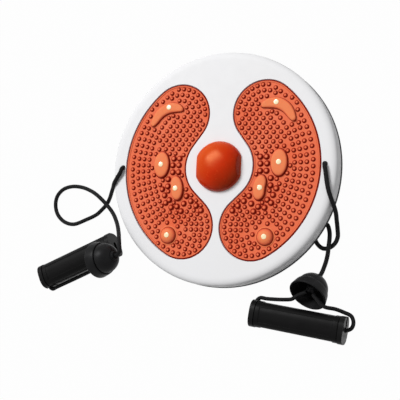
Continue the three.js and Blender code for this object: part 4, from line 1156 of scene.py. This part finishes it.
class DISC_OT_stage(bpy.types.Operator):
    """Set the camera, the pale floor and the studio light."""

    bl_idname = "disc.stage"
    bl_label = "Stage"

    def execute(self, context):
        s = context.scene.disc_stage
        self.camera(context)
        self.floor(s)
        self.lights(s)
        self.sky(context, s)
        context.scene.view_settings.view_transform = "Standard"
        return {"FINISHED"}

    def camera(self, context):
        """Camera at its place, turned to its target and then rolled about its own axis."""
        data = bpy.data.cameras.new("Camera")
        data.lens = CAMERA_LENS * 1000
        data.sensor_width = CAMERA_SENSOR * 1000
        data.sensor_fit = "HORIZONTAL"
        data.clip_start = 0.01
        camera = bpy.data.objects.new("Camera", data)
        context.scene.collection.objects.link(camera)
        place = Vector(CAMERA_PLACE)
        back = (place - Vector(CAMERA_TARGET)).normalized()
        level = Vector((0, 0, 1)).cross(back).normalized()
        rise = back.cross(level)
        right = level * math.cos(CAMERA_ROLL) + rise * math.sin(CAMERA_ROLL)
        up = back.cross(right)
        turn = Matrix((right, up, back)).transposed().to_4x4()
        camera.matrix_world = Matrix.Translation(place) @ turn
        context.scene.camera = camera

    def floor(self, s):
        """Level square that is nearly plain white to the camera and in reflections."""
        half = s.floor_size / 2
        mesh = bpy.data.meshes.new("floor")
        corners = [(-half, -half, 0), (half, -half, 0), (half, half, 0), (-half, half, 0)]
        mesh.from_pydata(corners, [], [(0, 1, 2, 3)])
        floor = bpy.data.objects.new("floor", mesh)
        bpy.context.scene.collection.objects.link(floor)
        finish = Finish("Pale floor", tuple(s.floor_colour), 0.9)
        cloud = finish.spread(finish.noise(5, 2), 0.3, 0.7)
        finish.paint(finish.mixed(cloud, tuple(s.floor_colour), darker(s.floor_colour, 0.97)))
        light = finish.nodes.new("ShaderNodeLightPath")
        seen = finish.maths("MAXIMUM", light.outputs["Is Camera Ray"], light.outputs["Is Glossy Ray"])
        seen = finish.maths("MAXIMUM", seen, light.outputs["Is Transmission Ray"])
        white = finish.nodes.new("ShaderNodeEmission")
        mix = finish.nodes.new("ShaderNodeMixShader")
        finish.links.new(finish.maths("MULTIPLY", seen, s.floor_glow), mix.inputs["Fac"])
        finish.links.new(finish.shader.outputs["BSDF"], mix.inputs[1])
        finish.links.new(white.outputs["Emission"], mix.inputs[2])
        finish.links.new(mix.outputs["Shader"], finish.nodes["Material Output"].inputs["Surface"])
        mesh.materials.append(finish.material)

    def lights(self, s):
        """Large soft light above and behind the left side, and a weak one in front."""
        lamps = [
            ("Key light", s.key_power, (-2.3, 2.6, 4.6), (2.8, 2.2)),
            ("Fill light", s.fill_power, (0.9, -0.5, 0.9), (0.8, 0.8)),
        ]
        for name, power, place, size in lamps:
            data = bpy.data.lights.new(name, "AREA")
            data.shape = "RECTANGLE"
            data.size, data.size_y = size
            data.energy = power
            lamp = bpy.data.objects.new(name, data)
            bpy.context.scene.collection.objects.link(lamp)
            aim = Vector(place).to_track_quat("Z", "Y")
            lamp.matrix_world = Matrix.LocRotScale(Vector(place), aim, None)

    def sky(self, context, s):
        """World that is plain white where it is seen or mirrored, and a soft even light elsewhere."""
        world = bpy.data.worlds.new("Studio")
        context.scene.world = world
        world.use_nodes = True
        nodes, links = world.node_tree.nodes, world.node_tree.links
        even = nodes["Background"]
        even.inputs["Color"].default_value = (1, 1, 1, 1)
        even.inputs["Strength"].default_value = s.sky_level
        white = nodes.new("ShaderNodeBackground")
        white.inputs["Color"].default_value = (1, 1, 1, 1)
        light = nodes.new("ShaderNodeLightPath")
        mix = nodes.new("ShaderNodeMixShader")
        seen = light.outputs["Is Camera Ray"]
        for ray in ("Is Glossy Ray", "Is Transmission Ray"):
            either = nodes.new("ShaderNodeMath")
            either.operation = "MAXIMUM"
            links.new(seen, either.inputs[0])
            links.new(light.outputs[ray], either.inputs[1])
            seen = either.outputs["Value"]
        links.new(seen, mix.inputs["Fac"])
        links.new(even.outputs["Background"], mix.inputs[1])
        links.new(white.outputs["Background"], mix.inputs[2])
        links.new(mix.outputs["Shader"], nodes["World Output"].inputs["Surface"])


def cover_point(side, degrees, radius, height):
    """Point beside a cover's axis: an angle from the level direction square to the axis,
    a distance from the axis and a height along it."""
    axis = np.array(COVER_AXES[side], float)
    axis /= np.linalg.norm(axis)
    level = np.cross(axis, (0, 0, 1))
    level /= np.linalg.norm(level)
    around = math.radians(degrees)
    spoke = level * math.cos(around) + np.cross(axis, level) * math.sin(around)
    return np.array(COVER_CENTRES[side]) + axis * height + spoke * radius


def grip_point(side, point):
    """Point in grip terms (along, toward the strap side, height) in the object's frame."""
    grip = GRIPS[side]
    along, across, height = point
    across *= grip["strap_side"]
    cosine, sine = math.cos(grip["turn"]), math.sin(grip["turn"])
    x = grip["place"][0] + along * cosine - across * sine
    y = grip["place"][1] + along * sine + across * cosine
    return np.array([x, y, height])


class DISC_OT_cords(bpy.types.Operator):
    """Lay the two pull cords along their routes, from plate to cover."""

    bl_idname = "disc.cords"
    bl_label = "Cords"

    def execute(self, context):
        s = context.scene.disc_cords
        finish = braided_cord(tuple(s.colour), s.diameter)
        collar_top = COVER_CAP_RADIUS + COVER_COLLAR
        heights = [
            collar_top + CORD_LEAD, collar_top, COVER_CAP_RADIUS - COVER_WALL, COVER_KNOT + KNOT_SEAT,
        ]
        for side, route in (("left", CORD_LEFT_ROUTE), ("right", CORD_RIGHT_ROUTE)):
            ends = [cover_point(side, 0, 0, height) for height in heights]
            path = smooth_route(list(route) + ends, ROUTE_STEP)
            piece = tube(Shell(), path, s.diameter / 2, 20).build(f"pull_cord_{side}", finish, 60)
            stand_for(piece, "turntable", "black_cord", f"cord_{side}")
        return {"FINISHED"}


class DISC_OT_plate(bpy.types.Operator):
    """Turn the white plate, with its pad recesses, cord holes, race ridge and hub.
    The shoulder is a quarter of an ellipse whose sine and cosine are raised to a power."""

    bl_idname = "disc.plate"
    bl_label = "Plate"

    def execute(self, context):
        s = context.scene.disc_plate
        shell = Shell()
        flat_edge = s.radius - SHOULDER_WIDTH + 0.0002
        under = PLATE_TOP - PLATE_SKIN
        inner_wall = s.radius - PLATE_WALL
        shoulder = np.linspace(math.pi / 2, 0, 24)
        curve = np.column_stack([
            flat_edge + (s.radius - flat_edge) * np.abs(np.cos(shoulder)) ** SHOULDER_POWER,
            PLATE_TOP - SHOULDER_DROP + SHOULDER_DROP * np.abs(np.sin(shoulder)) ** SHOULDER_POWER,
        ])
        foot_centre = (s.radius - PLATE_FOOT_ROUND, PLATE_FOOT + PLATE_FOOT_ROUND)
        foot = arc(foot_centre, PLATE_FOOT_ROUND, 0, -math.pi / 2, 5)
        hollow_centre = (inner_wall - PLATE_HOLLOW_ROUND, under - PLATE_HOLLOW_ROUND)
        hollow = arc(hollow_centre, PLATE_HOLLOW_ROUND, 0, math.pi / 2, 7)
        outside = np.vstack([
            curve, foot, [(inner_wall, PLATE_FOOT)], hollow, [(s.radius - SHOULDER_WIDTH, under)],
        ])
        shell.turned(outside, FINE_TURNS)
        ridge_foot = RACE_HEIGHT + RACE_WEB
        inside_line = np.vstack([
            [(RIDGE_OUT, under), (RIDGE_OUT, ridge_foot)], race_groove(1),
            [(RIDGE_IN, ridge_foot), (RIDGE_IN, under), (PLATE_HUB, under),
             (PLATE_HUB, PLATE_HUB_FOOT), (BOLT_BORE, PLATE_HUB_FOOT), (BOLT_BORE, PLATE_TOP)],
        ])
        shell.turned(inside_line, FINE_TURNS)
        self.top(shell, flat_edge)
        self.under(shell, under, RIDGE_OUT, s.radius - SHOULDER_WIDTH)
        piece = weigh_faces(shell.build("plate_shell", shell_plastic(tuple(s.colour))))
        stand_for(piece, "turntable", "white_shell", "top_plate")
        return {"FINISHED"}

    def top(self, shell, edge):
        """Level top with pad recesses and cord holes, each with a small rounded edge."""
        rounds = [(0.0005, 0.0), (0.00022, -0.00006), (0.00006, -0.00022), (0.0, -0.0005)]
        holes = [circle((0, 0), BOLT_BORE, FINE_TURNS)]
        for mirror in (1, -1):
            outlines = [pad_outline(PAD_GAP + grow) * (mirror, 1) for grow, _ in rounds]
            holes.append(outlines[0])
            rings = [at_height(line, PLATE_TOP + drop) for line, (_, drop) in zip(outlines, rounds)]
            floor = PLATE_TOP - PAD_RECESS
            rings.append(at_height(outlines[-1], floor))
            shell.grid(np.stack(rings), wrap_v=True)
            shell.flat([outlines[-1]], floor)
            centre = (mirror * CORD_HOLE[0], CORD_HOLE[1])
            rim = [(CORD_HOLE_RADIUS + grow * 0.5, PLATE_TOP + drop * 0.5) for grow, drop in rounds]
            rim.append((CORD_HOLE_RADIUS, PLATE_TOP - PLATE_SKIN))
            loops = [at_height(circle(centre, r, CORD_HOLE_TURNS), z) for r, z in rim]
            shell.grid(np.stack(loops), wrap_v=True)
            holes.append(loops[0][:, :2])
        shell.flat([circle((0, 0), edge, FINE_TURNS)] + holes, PLATE_TOP)

    def under(self, shell, height, inner, outer):
        """Level underside of the skin, with the two cord holes."""
        holes = [circle((0, 0), inner, FINE_TURNS)]
        for mirror in (1, -1):
            centre = (mirror * CORD_HOLE[0], CORD_HOLE[1])
            holes.append(circle(centre, CORD_HOLE_RADIUS, CORD_HOLE_TURNS))
        shell.flat([circle((0, 0), outer, FINE_TURNS)] + holes, height)


class DISC_OT_pads(bpy.types.Operator):
    """Mould the two orange foot pads with their pegs and islands."""

    bl_idname = "disc.pads"
    bl_label = "Foot pads"

    def execute(self, context):
        s = context.scene.disc_pads
        finish = pad_rubber(tuple(s.colour), tuple(s.shade))
        for side in ("right", "left"):
            shell = pad_shell(s)
            if side == "left":
                shell.mirrored()
            piece = weigh_faces(shell.build(f"foot_pad_{side}", finish, 50))
            stand_for(piece, "turntable", "orange_pad", f"pad_{side}")
        return {"FINISHED"}


class DISC_OT_magnets(bpy.types.Operator):
    """Set a round cream magnet in each island."""

    bl_idname = "disc.magnets"
    bl_label = "Magnets"

    def execute(self, context):
        s = context.scene.disc_magnets
        finish = magnet_ceramic(tuple(s.colour))
        for side, mirror in (("left", -1), ("right", 1)):
            for spot, (x, y, rise) in MAGNET_SPOTS.items():
                top = PAD_FACE + rise + s.stand
                foot = top - s.thickness
                profile = np.vstack([
                    [(0, foot), (s.radius, foot)],
                    arc((s.radius - 0.0005, top - 0.0005), 0.0005, 0, math.pi / 2, 6),
                    [(s.radius * 0.5, top + 0.00008), (0, top + 0.0001)],
                ])
                turned_piece(
                    f"pad_magnet_{side}_{spot}", profile, 36, Matrix.Translation((mirror * x, y, 0)),
                    finish, "turntable", "cream_magnet", f"magnet_{side}_{spot}",
                )
        return {"FINISHED"}


class DISC_OT_dome(bpy.types.Operator):
    """Shape the red dome with its two side flats and its hollow."""

    bl_idname = "disc.dome"
    bl_label = "Centre dome"

    def execute(self, context):
        s = context.scene.disc_dome
        height = float(DOME_HIGH[2] - DOME_LOW[2])
        outer = self.skin(s.radius, height, s.flat, s.lean)
        inner = self.skin(s.radius - s.wall, height - s.wall, s.flat - DOME_FLAT_WALL, s.lean)
        shell = Shell()
        # Tone paints a lighter line at the foot of the outside, and some painted light inside and on
        # the rim
        rise = (outer[..., 2] - DOME_LOW[2]) / height
        edge = np.clip(1 - rise / DOME_FOOT_LIGHT_SHARE, 0, 1)
        shell.grid(outer, wrap_v=True, tone=edge)
        shell.grid(inner, wrap_v=True, tone=0.3)
        shell.grid(np.stack([outer[0], inner[0]]), wrap_v=True, tone=1.0)
        piece = shell.build("dome_cap", dome_acrylic(tuple(s.colour), tuple(s.glow)), 40)
        stand_for(piece, "turntable", "red_dome", "centre_dome")
        return {"FINISHED"}

    def skin(self, radius, height, flat, lean):
        """Radius r cos^0.85 and height h sin of one angle, held inside two flats that lean
        inwards: |x| - softness log(1 + exp((|x| - flat + lean z) / softness))."""
        lift = np.concatenate([np.linspace(0, 0.12, 6)[:-1], np.linspace(0.12, np.pi / 2, 44)])
        spread = radius * np.cos(lift) ** DOME_POWER
        spread[-1] = 0
        angle = round_angles(ROUND_TURNS * 2)
        x = spread[:, None] * np.cos(angle)
        y = spread[:, None] * np.sin(angle)
        rise = np.broadcast_to((height * np.sin(lift))[:, None], x.shape)
        over = np.abs(x) - flat + lean * rise
        held = np.abs(x) - DOME_SOFTNESS * np.logaddexp(0, over / DOME_SOFTNESS)
        return np.stack([np.sign(x) * held, y, DOME_LOW[2] + rise], axis=-1)


class DISC_OT_base(bpy.types.Operator):
    """Turn the black base with its ribs, and its rubber feet."""

    bl_idname = "disc.base"
    bl_label = "Base and feet"

    def execute(self, context):
        s = context.scene.disc_base
        finish = moulded_plastic(
            "Black base plastic", tuple(s.colour), 0.5, 0.00002, Specular_IOR_Level=0.3,
        )
        piece = weigh_faces(self.plate(s).build("base_shell", finish))
        stand_for(piece, "base", "black_base", "base_plate")
        rubber = foot_rubber(tuple(s.rubber))
        for number in range(1, 7):
            low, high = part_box(f"foot_{number}")
            self.foot(f"rubber_foot_{number}", low, high, FOOT_NECK, rubber, f"foot_{number}")
        low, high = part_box("centre_foot")
        self.foot("rubber_foot_centre", low, high, CENTRE_FOOT_NECK, rubber, "centre_foot")
        return {"FINISHED"}

    def plate(self, s):
        """Base profile turned about Z, and radial ribs under it."""
        shell = Shell()
        under, top = float(BASE_LOW[2]), float(BASE_LOW[2]) + BASE_THICKNESS
        ridge_top = RACE_HEIGHT - RACE_WEB
        rim = arc((s.radius - BASE_EDGE, under + BASE_EDGE), BASE_EDGE, -math.pi / 2, 0, 5)
        rim_top = arc((s.radius - BASE_EDGE, top - BASE_EDGE), BASE_EDGE, 0, math.pi / 2, 5)
        rings = []
        for radius in BASE_RINGS:
            rings += [(radius - 0.0009, under), (radius - 0.0007, under - BASE_RING_DEPTH),
                      (radius + 0.0007, under - BASE_RING_DEPTH), (radius + 0.0009, under)]
        profile = np.vstack([
            [(BOLT_BORE, under)], rings, rim, rim_top,
            [(RIDGE_OUT, top), (RIDGE_OUT, ridge_top)], race_groove(-1),
            [(RIDGE_IN, ridge_top), (RIDGE_IN, top), (BASE_HUB, top), (BASE_HUB, BASE_HUB_TOP),
             (BOLT_BORE, BASE_HUB_TOP), (BOLT_BORE, under)],
        ])
        shell.turned(profile, FINE_TURNS)
        for angle in round_angles(s.ribs):
            self.rib(shell, angle, under)
        return shell

    def rib(self, shell, angle, under):
        """Bar from the inner ring rib to the outer one, narrower at its lower edge."""
        section = np.array([(-0.0008, 0.0004), (-0.0006, -0.0014), (0.0006, -0.0014), (0.0008, 0.0004)])
        rings = np.stack([
            np.column_stack([np.full(4, reach), section[:, 0], section[:, 1] + under])
            for reach in BASE_RIB_ENDS
        ])
        turn = np.array(Matrix.Rotation(angle, 3, "Z"))
        centres = np.repeat(rings.mean(axis=1, keepdims=True), 4, axis=1)
        closed = np.concatenate([centres[:1], rings, centres[1:]]) @ turn.T
        shell.grid(closed, wrap_v=True)

    def foot(self, name, low, high, neck, finish, node):
        """Round foot with a soft edge and a ringed hollow tread, from its solid's box."""
        centre = (low + high) / 2
        radius = (high.x - low.x) / 2
        top = float(BASE_LOW[2]) - FOOT_GAP
        tread = [(0, 0.0007), (radius * 0.3, 0.0007), (radius * 0.34, 0.0), (radius * 0.46, 0.0),
                 (radius * 0.5, 0.0006), (radius * 0.62, 0.0006), (radius * 0.66, 0.0)]
        edge = arc((radius - 0.0012, 0.0012), 0.0012, -math.pi / 2, 0, 6)
        profile = np.vstack([
            tread, edge, arc((radius - 0.0005, top - 0.0005), 0.0005, 0, math.pi / 2, 4),
            [(neck, top)],
        ])
        end = CENTRE_FOOT_HOLLOW if node == "centre_foot" else float(high.z)
        turned_piece(
            name, np.vstack([profile, [(neck, end), (0, end)]]), 64,
            Matrix.Translation((centre.x, centre.y, 0)), finish, "base", "black_rubber", node,
        )


class DISC_OT_race(bpy.types.Operator):
    """Finish the hidden pivot and race: cage, balls, bolt, washers and nut."""

    bl_idname = "disc.race"
    bl_label = "Pivot and race"

    def execute(self, context):
        nylon = moulded_plastic("Cage nylon", (0.62, 0.58, 0.46), 0.5, 0.000015)
        steel = plated_steel("Plated steel", (0.62, 0.63, 0.65), 0.3)
        polished = plated_steel("Ball steel", (0.72, 0.73, 0.75), 0.12)
        for node in ("pivot_bolt", "upper_washer", "lower_washer", "lock_nut"):
            self.dress(node, steel)
        self.dress("ball_cage", nylon)
        profile = arc((0, RACE_HEIGHT), RACE_BALL, -math.pi / 2, math.pi / 2, 17)
        profile[[0, -1], 0] = 0
        for number in range(1, RACE_BALLS + 1):
            low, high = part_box(f"race_ball_{number}")
            centre = (low + high) / 2
            turned_piece(
                f"steel_ball_{number}", profile, 28, Matrix.Translation((centre.x, centre.y, 0)),
                polished, "cage", "ball_steel", f"race_ball_{number}",
            )
        return {"FINISHED"}

    def dress(self, node, finish):
        """Give a solid node its finish in every material slot."""
        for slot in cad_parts[node].material_slots:
            slot.material = finish


def axis_matrix(centre, axis):
    """Matrix that puts the local Z axis along an axis through a centre."""
    turn = Vector((0, 0, 1)).rotation_difference(Vector(axis).normalized())
    return Matrix.LocRotScale(Vector(centre), turn, None)


class DISC_OT_covers(bpy.types.Operator):
    """Turn the domed cap and the flared skirt of each bell cover, with seam and collar."""

    bl_idname = "disc.covers"
    bl_label = "Bell covers"

    def execute(self, context):
        s = context.scene.disc_covers
        finish = cover_plastic(tuple(s.colour), 0.36)
        for side in ("left", "right"):
            place = axis_matrix(COVER_CENTRES[side], COVER_AXES[side])
            for name, node, profile in (
                ("bell_cap", "cover_cap", self.cap_profile(s)),
                ("bell_skirt", "cover_base", self.skirt_profile(s)),
            ):
                turned_piece(
                    f"{name}_{side}", profile, ROUND_TURNS, place,
                    finish, "turntable", "black_grip", f"{node}_{side}",
                )
        return {"FINISHED"}

    def cap_profile(self, s):
        """Collar, ball down to the seam, a spigot that reaches into the skirt, then the inside."""
        inner = s.radius - COVER_WALL
        top = s.radius + COVER_COLLAR
        collar = [(COVER_BORE, top - 0.0004), (COVER_BORE + 0.0005, top),
                  (s.collar_radius - 0.0005, top), (s.collar_radius, top - 0.0005),
                  (s.collar_radius, s.radius - 0.0007),
                  (s.collar_radius + 0.0007, s.radius - 0.0014)]
        ball = arc((0, 0), s.radius, math.acos((s.collar_radius + 0.0014) / s.radius),
                   math.asin((COVER_SEAM + 0.0007) / s.radius), 30)
        spigot = s.radius - SPIGOT_STEP
        lip = [(s.radius - 0.0005, COVER_SEAM + 0.0001), (s.radius - 0.0009, COVER_SEAM),
               (spigot, COVER_SEAM - 0.0001), (spigot, -SPIGOT_DEPTH)]
        start, end = -math.asin(SPIGOT_DEPTH / inner), math.acos(COVER_BORE / inner)
        inside_ball = arc((0, 0), inner, start, end, 22)
        return np.vstack([collar, ball, lip, inside_ball, collar[:1]])

    def skirt_profile(self, s):
        """Flared wall from the seam to the mouth: the radius grows with the way down to the
        power 0.8 outside, a rounded bead closes the mouth, and a small shelf carries the cap."""
        way = np.linspace(0, 1, 16)
        top, foot = 0.0006, COVER_MOUTH_HEIGHT + 0.0007
        shoulder = s.radius + 0.0012
        outer = np.column_stack([shoulder + (s.mouth - shoulder) * way**0.8, top + (foot - top) * way])
        bead = arc((s.mouth - 0.0008, COVER_MOUTH_HEIGHT + 0.0008), 0.0008, 0, -math.pi / 2, 6)
        bead_centre = (s.mouth - 0.0015, COVER_MOUTH_HEIGHT + 0.0007)
        inner_bead = arc(bead_centre, 0.0007, -math.pi / 2, -math.pi, 6)
        inner_top = s.radius - 0.0013
        inner = np.column_stack([
            s.mouth - 0.0022 - (s.mouth - 0.0022 - inner_top) * way**1.3, foot + (0.0003 - foot) * way,
        ])
        shelf = [(inner_top, 0.00095), (shoulder - 0.0004, 0.00095)]
        return np.vstack([shelf, outer, bead, inner_bead, inner, shelf[:1]])


def trefoil(centre, size, axis):
    """Closed knot line: (sin t + 2 sin 2t, cos t - 2 cos 2t, -sin 3t), scaled to a size."""
    t = np.linspace(0, 2 * np.pi, 120)
    line = np.column_stack([
        np.sin(t) + 2 * np.sin(2 * t), np.cos(t) - 2 * np.cos(2 * t), -np.sin(3 * t),
    ])
    turn = np.array(axis_matrix(centre, axis))
    return (line * size / 3) @ turn[:3, :3].T + turn[:3, 3]


class DISC_OT_knots(bpy.types.Operator):
    """Tie the knots that hold the cords under the plate and inside the covers."""

    bl_idname = "disc.knots"
    bl_label = "Knots"

    def execute(self, context):
        s = context.scene.disc_cords
        finish = braided_cord(tuple(s.colour), s.strap_diameter)
        for side in ("left", "right"):
            low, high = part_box(f"cord_stop_{side}")
            stop, centre, axis = (low + high) / 2, COVER_CENTRES[side], COVER_AXES[side]
            self.tie(f"plate_knot_{side}", stop, (0, 0, 1), PLATE_KNOT, finish, f"cord_stop_{side}")
            self.tie(f"bell_knot_{side}", centre, axis, BELL_KNOT, finish, f"cover_knot_{side}")
        return {"FINISHED"}

    def tie(self, name, centre, axis, knot, finish, node):
        """One trefoil of cord standing for a solid knot."""
        size, radius = knot
        shell = tube(Shell(), trefoil(centre, size, axis), radius, 12)
        piece = shell.build(name, finish, 60)
        stand_for(piece, "turntable", "black_cord", node)


class DISC_OT_straps(bpy.types.Operator):
    """Lead the strap from each cover through its bar grip and back."""

    bl_idname = "disc.straps"
    bl_label = "Straps"

    def execute(self, context):
        s = context.scene.disc_cords
        finish = braided_cord(tuple(s.colour), s.strap_diameter)
        for side in ("left", "right"):
            first, last = STRAP_STRANDS[side]
            route = [cover_point(side, *point) for point in first]
            route += [grip_point(side, point) for point in STRAP_ROUTES[side]]
            route += [cover_point(side, *point) for point in last]
            path = smooth_route(route, ROUTE_STEP)
            strap = tube(Shell(), path, s.strap_diameter / 2, 16)
            piece = strap.build(f"grip_strap_{side}", finish, 60)
            stand_for(piece, "turntable", "black_cord", f"strap_{side}")
        return {"FINISHED"}


def grip_matrix(side):
    """Matrix from a bar along X at the origin to the grip's place."""
    grip = GRIPS[side]
    return Matrix.Translation((*grip["place"], GRIP_REST)) @ Matrix.Rotation(grip["turn"], 4, "Z")


class DISC_OT_grips(bpy.types.Operator):
    """Mould the bar grips with their sunk panels and slotted end collars."""

    bl_idname = "disc.grips"
    bl_label = "Bar grips"

    squareness = 2.8

    def execute(self, context):
        s = context.scene.disc_grips
        bar_finish = grip_plastic(tuple(s.colour), 0.4)
        collar_finish = moulded_plastic(
            "Black collar plastic", darker(s.colour, 0.85), 0.36, 0.000015, Specular_IOR_Level=0.08,
        )
        for side in ("left", "right"):
            bar = self.bar(s).moved(grip_matrix(side))
            piece = weigh_faces(bar.build(f"bar_grip_{side}", bar_finish, 40))
            stand_for(piece, "turntable", "black_grip", f"grip_{side}")
            for end, letter in ((-1, "a"), (1, "b")):
                collar = self.collar(s, end, GRIPS[side]["strap_side"]).moved(grip_matrix(side))
                piece = collar.build(f"bar_collar_{side}_{letter}", collar_finish, 35)
                bevel = piece.modifiers.new("Edge round", "BEVEL")
                bevel.width = 0.0005
                bevel.segments = 3
                bevel.limit_method = "ANGLE"
                bevel.angle_limit = math.radians(50)
                weigh_faces(piece)
                stand_for(piece, "turntable", "black_grip", f"grip_collar_{side}_{letter}")
        return {"FINISHED"}

    def bar(self, s):
        """Rounded square (|y|^2.8 + |z|^2.8 = half^2.8) carried along X, with four panels
        sunk by a smooth step, rounded ends, and a round bore."""
        half_length = s.span / 2 - s.collar - COLLAR_GAP
        corner = s.half * 2 ** (-1 / self.squareness)
        panel = s.panel_width / 2
        rim = 0.0003
        across = np.concatenate([
            np.linspace(-corner, -panel - rim, 7), np.linspace(-panel - rim, -panel + rim, 5)[1:],
            np.linspace(-panel + rim, panel - rim, 9)[1:], np.linspace(panel - rim, panel + rim, 5)[1:],
            np.linspace(panel + rim, corner, 7)[1:-1],
        ])
        reach = s.half * (1 - (np.abs(across) / s.half) ** self.squareness) ** (1 / self.squareness)
        sunk = s.panel_length / 2
        right = np.concatenate([
            np.linspace(0, sunk - rim, 12), np.linspace(sunk - rim, sunk + rim, 5)[1:],
            np.linspace(sunk + rim, half_length - GRIP_EDGE, 4)[1:],
            half_length - GRIP_EDGE * (1 - np.sin(np.linspace(0, np.pi / 2, 6)[1:])),
        ])
        along = np.concatenate([-right[:0:-1], right])
        past = np.maximum(np.abs(along) - half_length + GRIP_EDGE, 0)
        inset = GRIP_EDGE - np.sqrt(np.maximum(GRIP_EDGE**2 - past**2, 0))
        inside_along = np.clip((sunk + rim - np.abs(along)) / (2 * rim), 0, 1)
        inside_across = np.clip((panel + rim - np.abs(across)) / (2 * rim), 0, 1)
        smooth = inside_along[:, None] * inside_across[None, :]
        depth = s.panel_depth * smooth * smooth * (3 - 2 * smooth)
        shape = (1 - inset / s.half)[:, None]
        faces = []
        for quarter in range(4):
            y = across[None, :] * shape
            z = reach[None, :] * shape - depth
            cosine, sine = math.cos(quarter * math.pi / 2), math.sin(quarter * math.pi / 2)
            faces.append(np.stack([
                np.broadcast_to(along[:, None], y.shape), y * cosine + z * sine, z * cosine - y * sine,
            ], axis=-1))
        skin = np.concatenate(faces, axis=1)
        spokes = skin[0, :, 1:] / np.linalg.norm(skin[0, :, 1:], axis=1)[:, None]
        ends = (along[-1], along[0])
        bore = [np.column_stack([np.full(len(spokes), x), spokes * GRIP_BORE]) for x in ends]
        shell = Shell()
        shell.grid(np.concatenate([skin, np.stack(bore)]), wrap_u=True, wrap_v=True)
        return shell

    def collar(self, s, end, strap_side):
        """Rounded square plate with a keyhole slot open toward the strap side."""
        half = s.half + COLLAR_STEP
        power = 2 / self.squareness
        lip = math.asin((COLLAR_SLOT / half) ** (1 / power))
        angle = np.linspace(lip, 2 * math.pi - lip, 72)
        cosine, sine = np.cos(angle), np.sin(angle)
        outer = np.column_stack([
            half * np.sign(cosine) * np.abs(cosine) ** power,
            half * np.sign(sine) * np.abs(sine) ** power,
        ])
        keyhole = arc((0, 0), COLLAR_SLOT, -math.pi / 2, -3 * math.pi / 2, 24)
        outline = np.vstack([outer, keyhole]) * (strap_side, 1)
        near = s.span / 2 - s.collar
        shell = Shell()
        rings = [np.column_stack([np.full(len(outline), end * x), outline]) for x in (near, s.span / 2)]
        shell.grid(np.stack(rings), wrap_v=True)
        for x in (near, s.span / 2):
            face = Shell()
            face.flat([outline], end * x)
            shell.add(face.points[0][:, [2, 0, 1]], face.faces[0])
        return shell


class DISC_PT_panel(bpy.types.Panel):
    """Buttons for every piece of the disc, in building order."""

    bl_idname = "DISC_PT_panel"
    bl_label = "Waist twisting disc"
    bl_space_type = "VIEW_3D"
    bl_region_type = "UI"
    bl_category = "Twist Disc"

    def draw(self, context):
        for step in STEPS:
            self.layout.operator(step.bl_idname)
        for name, group in SETTINGS.items():
            box = self.layout.box()
            box.label(text=group.__doc__)
            for setting in group.__annotations__:
                box.prop(getattr(context.scene, name), setting)


STEPS = (
    DISC_OT_stage,
    DISC_OT_cords,
    DISC_OT_plate,
    DISC_OT_pads,
    DISC_OT_magnets,
    DISC_OT_dome,
    DISC_OT_base,
    DISC_OT_race,
    DISC_OT_covers,
    DISC_OT_knots,
    DISC_OT_straps,
    DISC_OT_grips,
)


def register():
    """Register the settings, the operators and the panel."""
    for item in (*SETTINGS.values(), *STEPS, DISC_PT_panel):
        bpy.utils.register_class(item)
    for name, group in SETTINGS.items():
        setattr(bpy.types.Scene, name, PointerProperty(type=group))


def unregister():
    """Take everything away again, in reverse."""
    for name in SETTINGS:
        delattr(bpy.types.Scene, name)
    for item in (DISC_PT_panel, *reversed(STEPS), *reversed(SETTINGS.values())):
        bpy.utils.unregister_class(item)


def main():
    """Build every piece in order."""
    register()
    for step in STEPS:
        group, name = step.bl_idname.split(".")
        getattr(getattr(bpy.ops, group), name)()


if __name__ == "__main__":
    main()
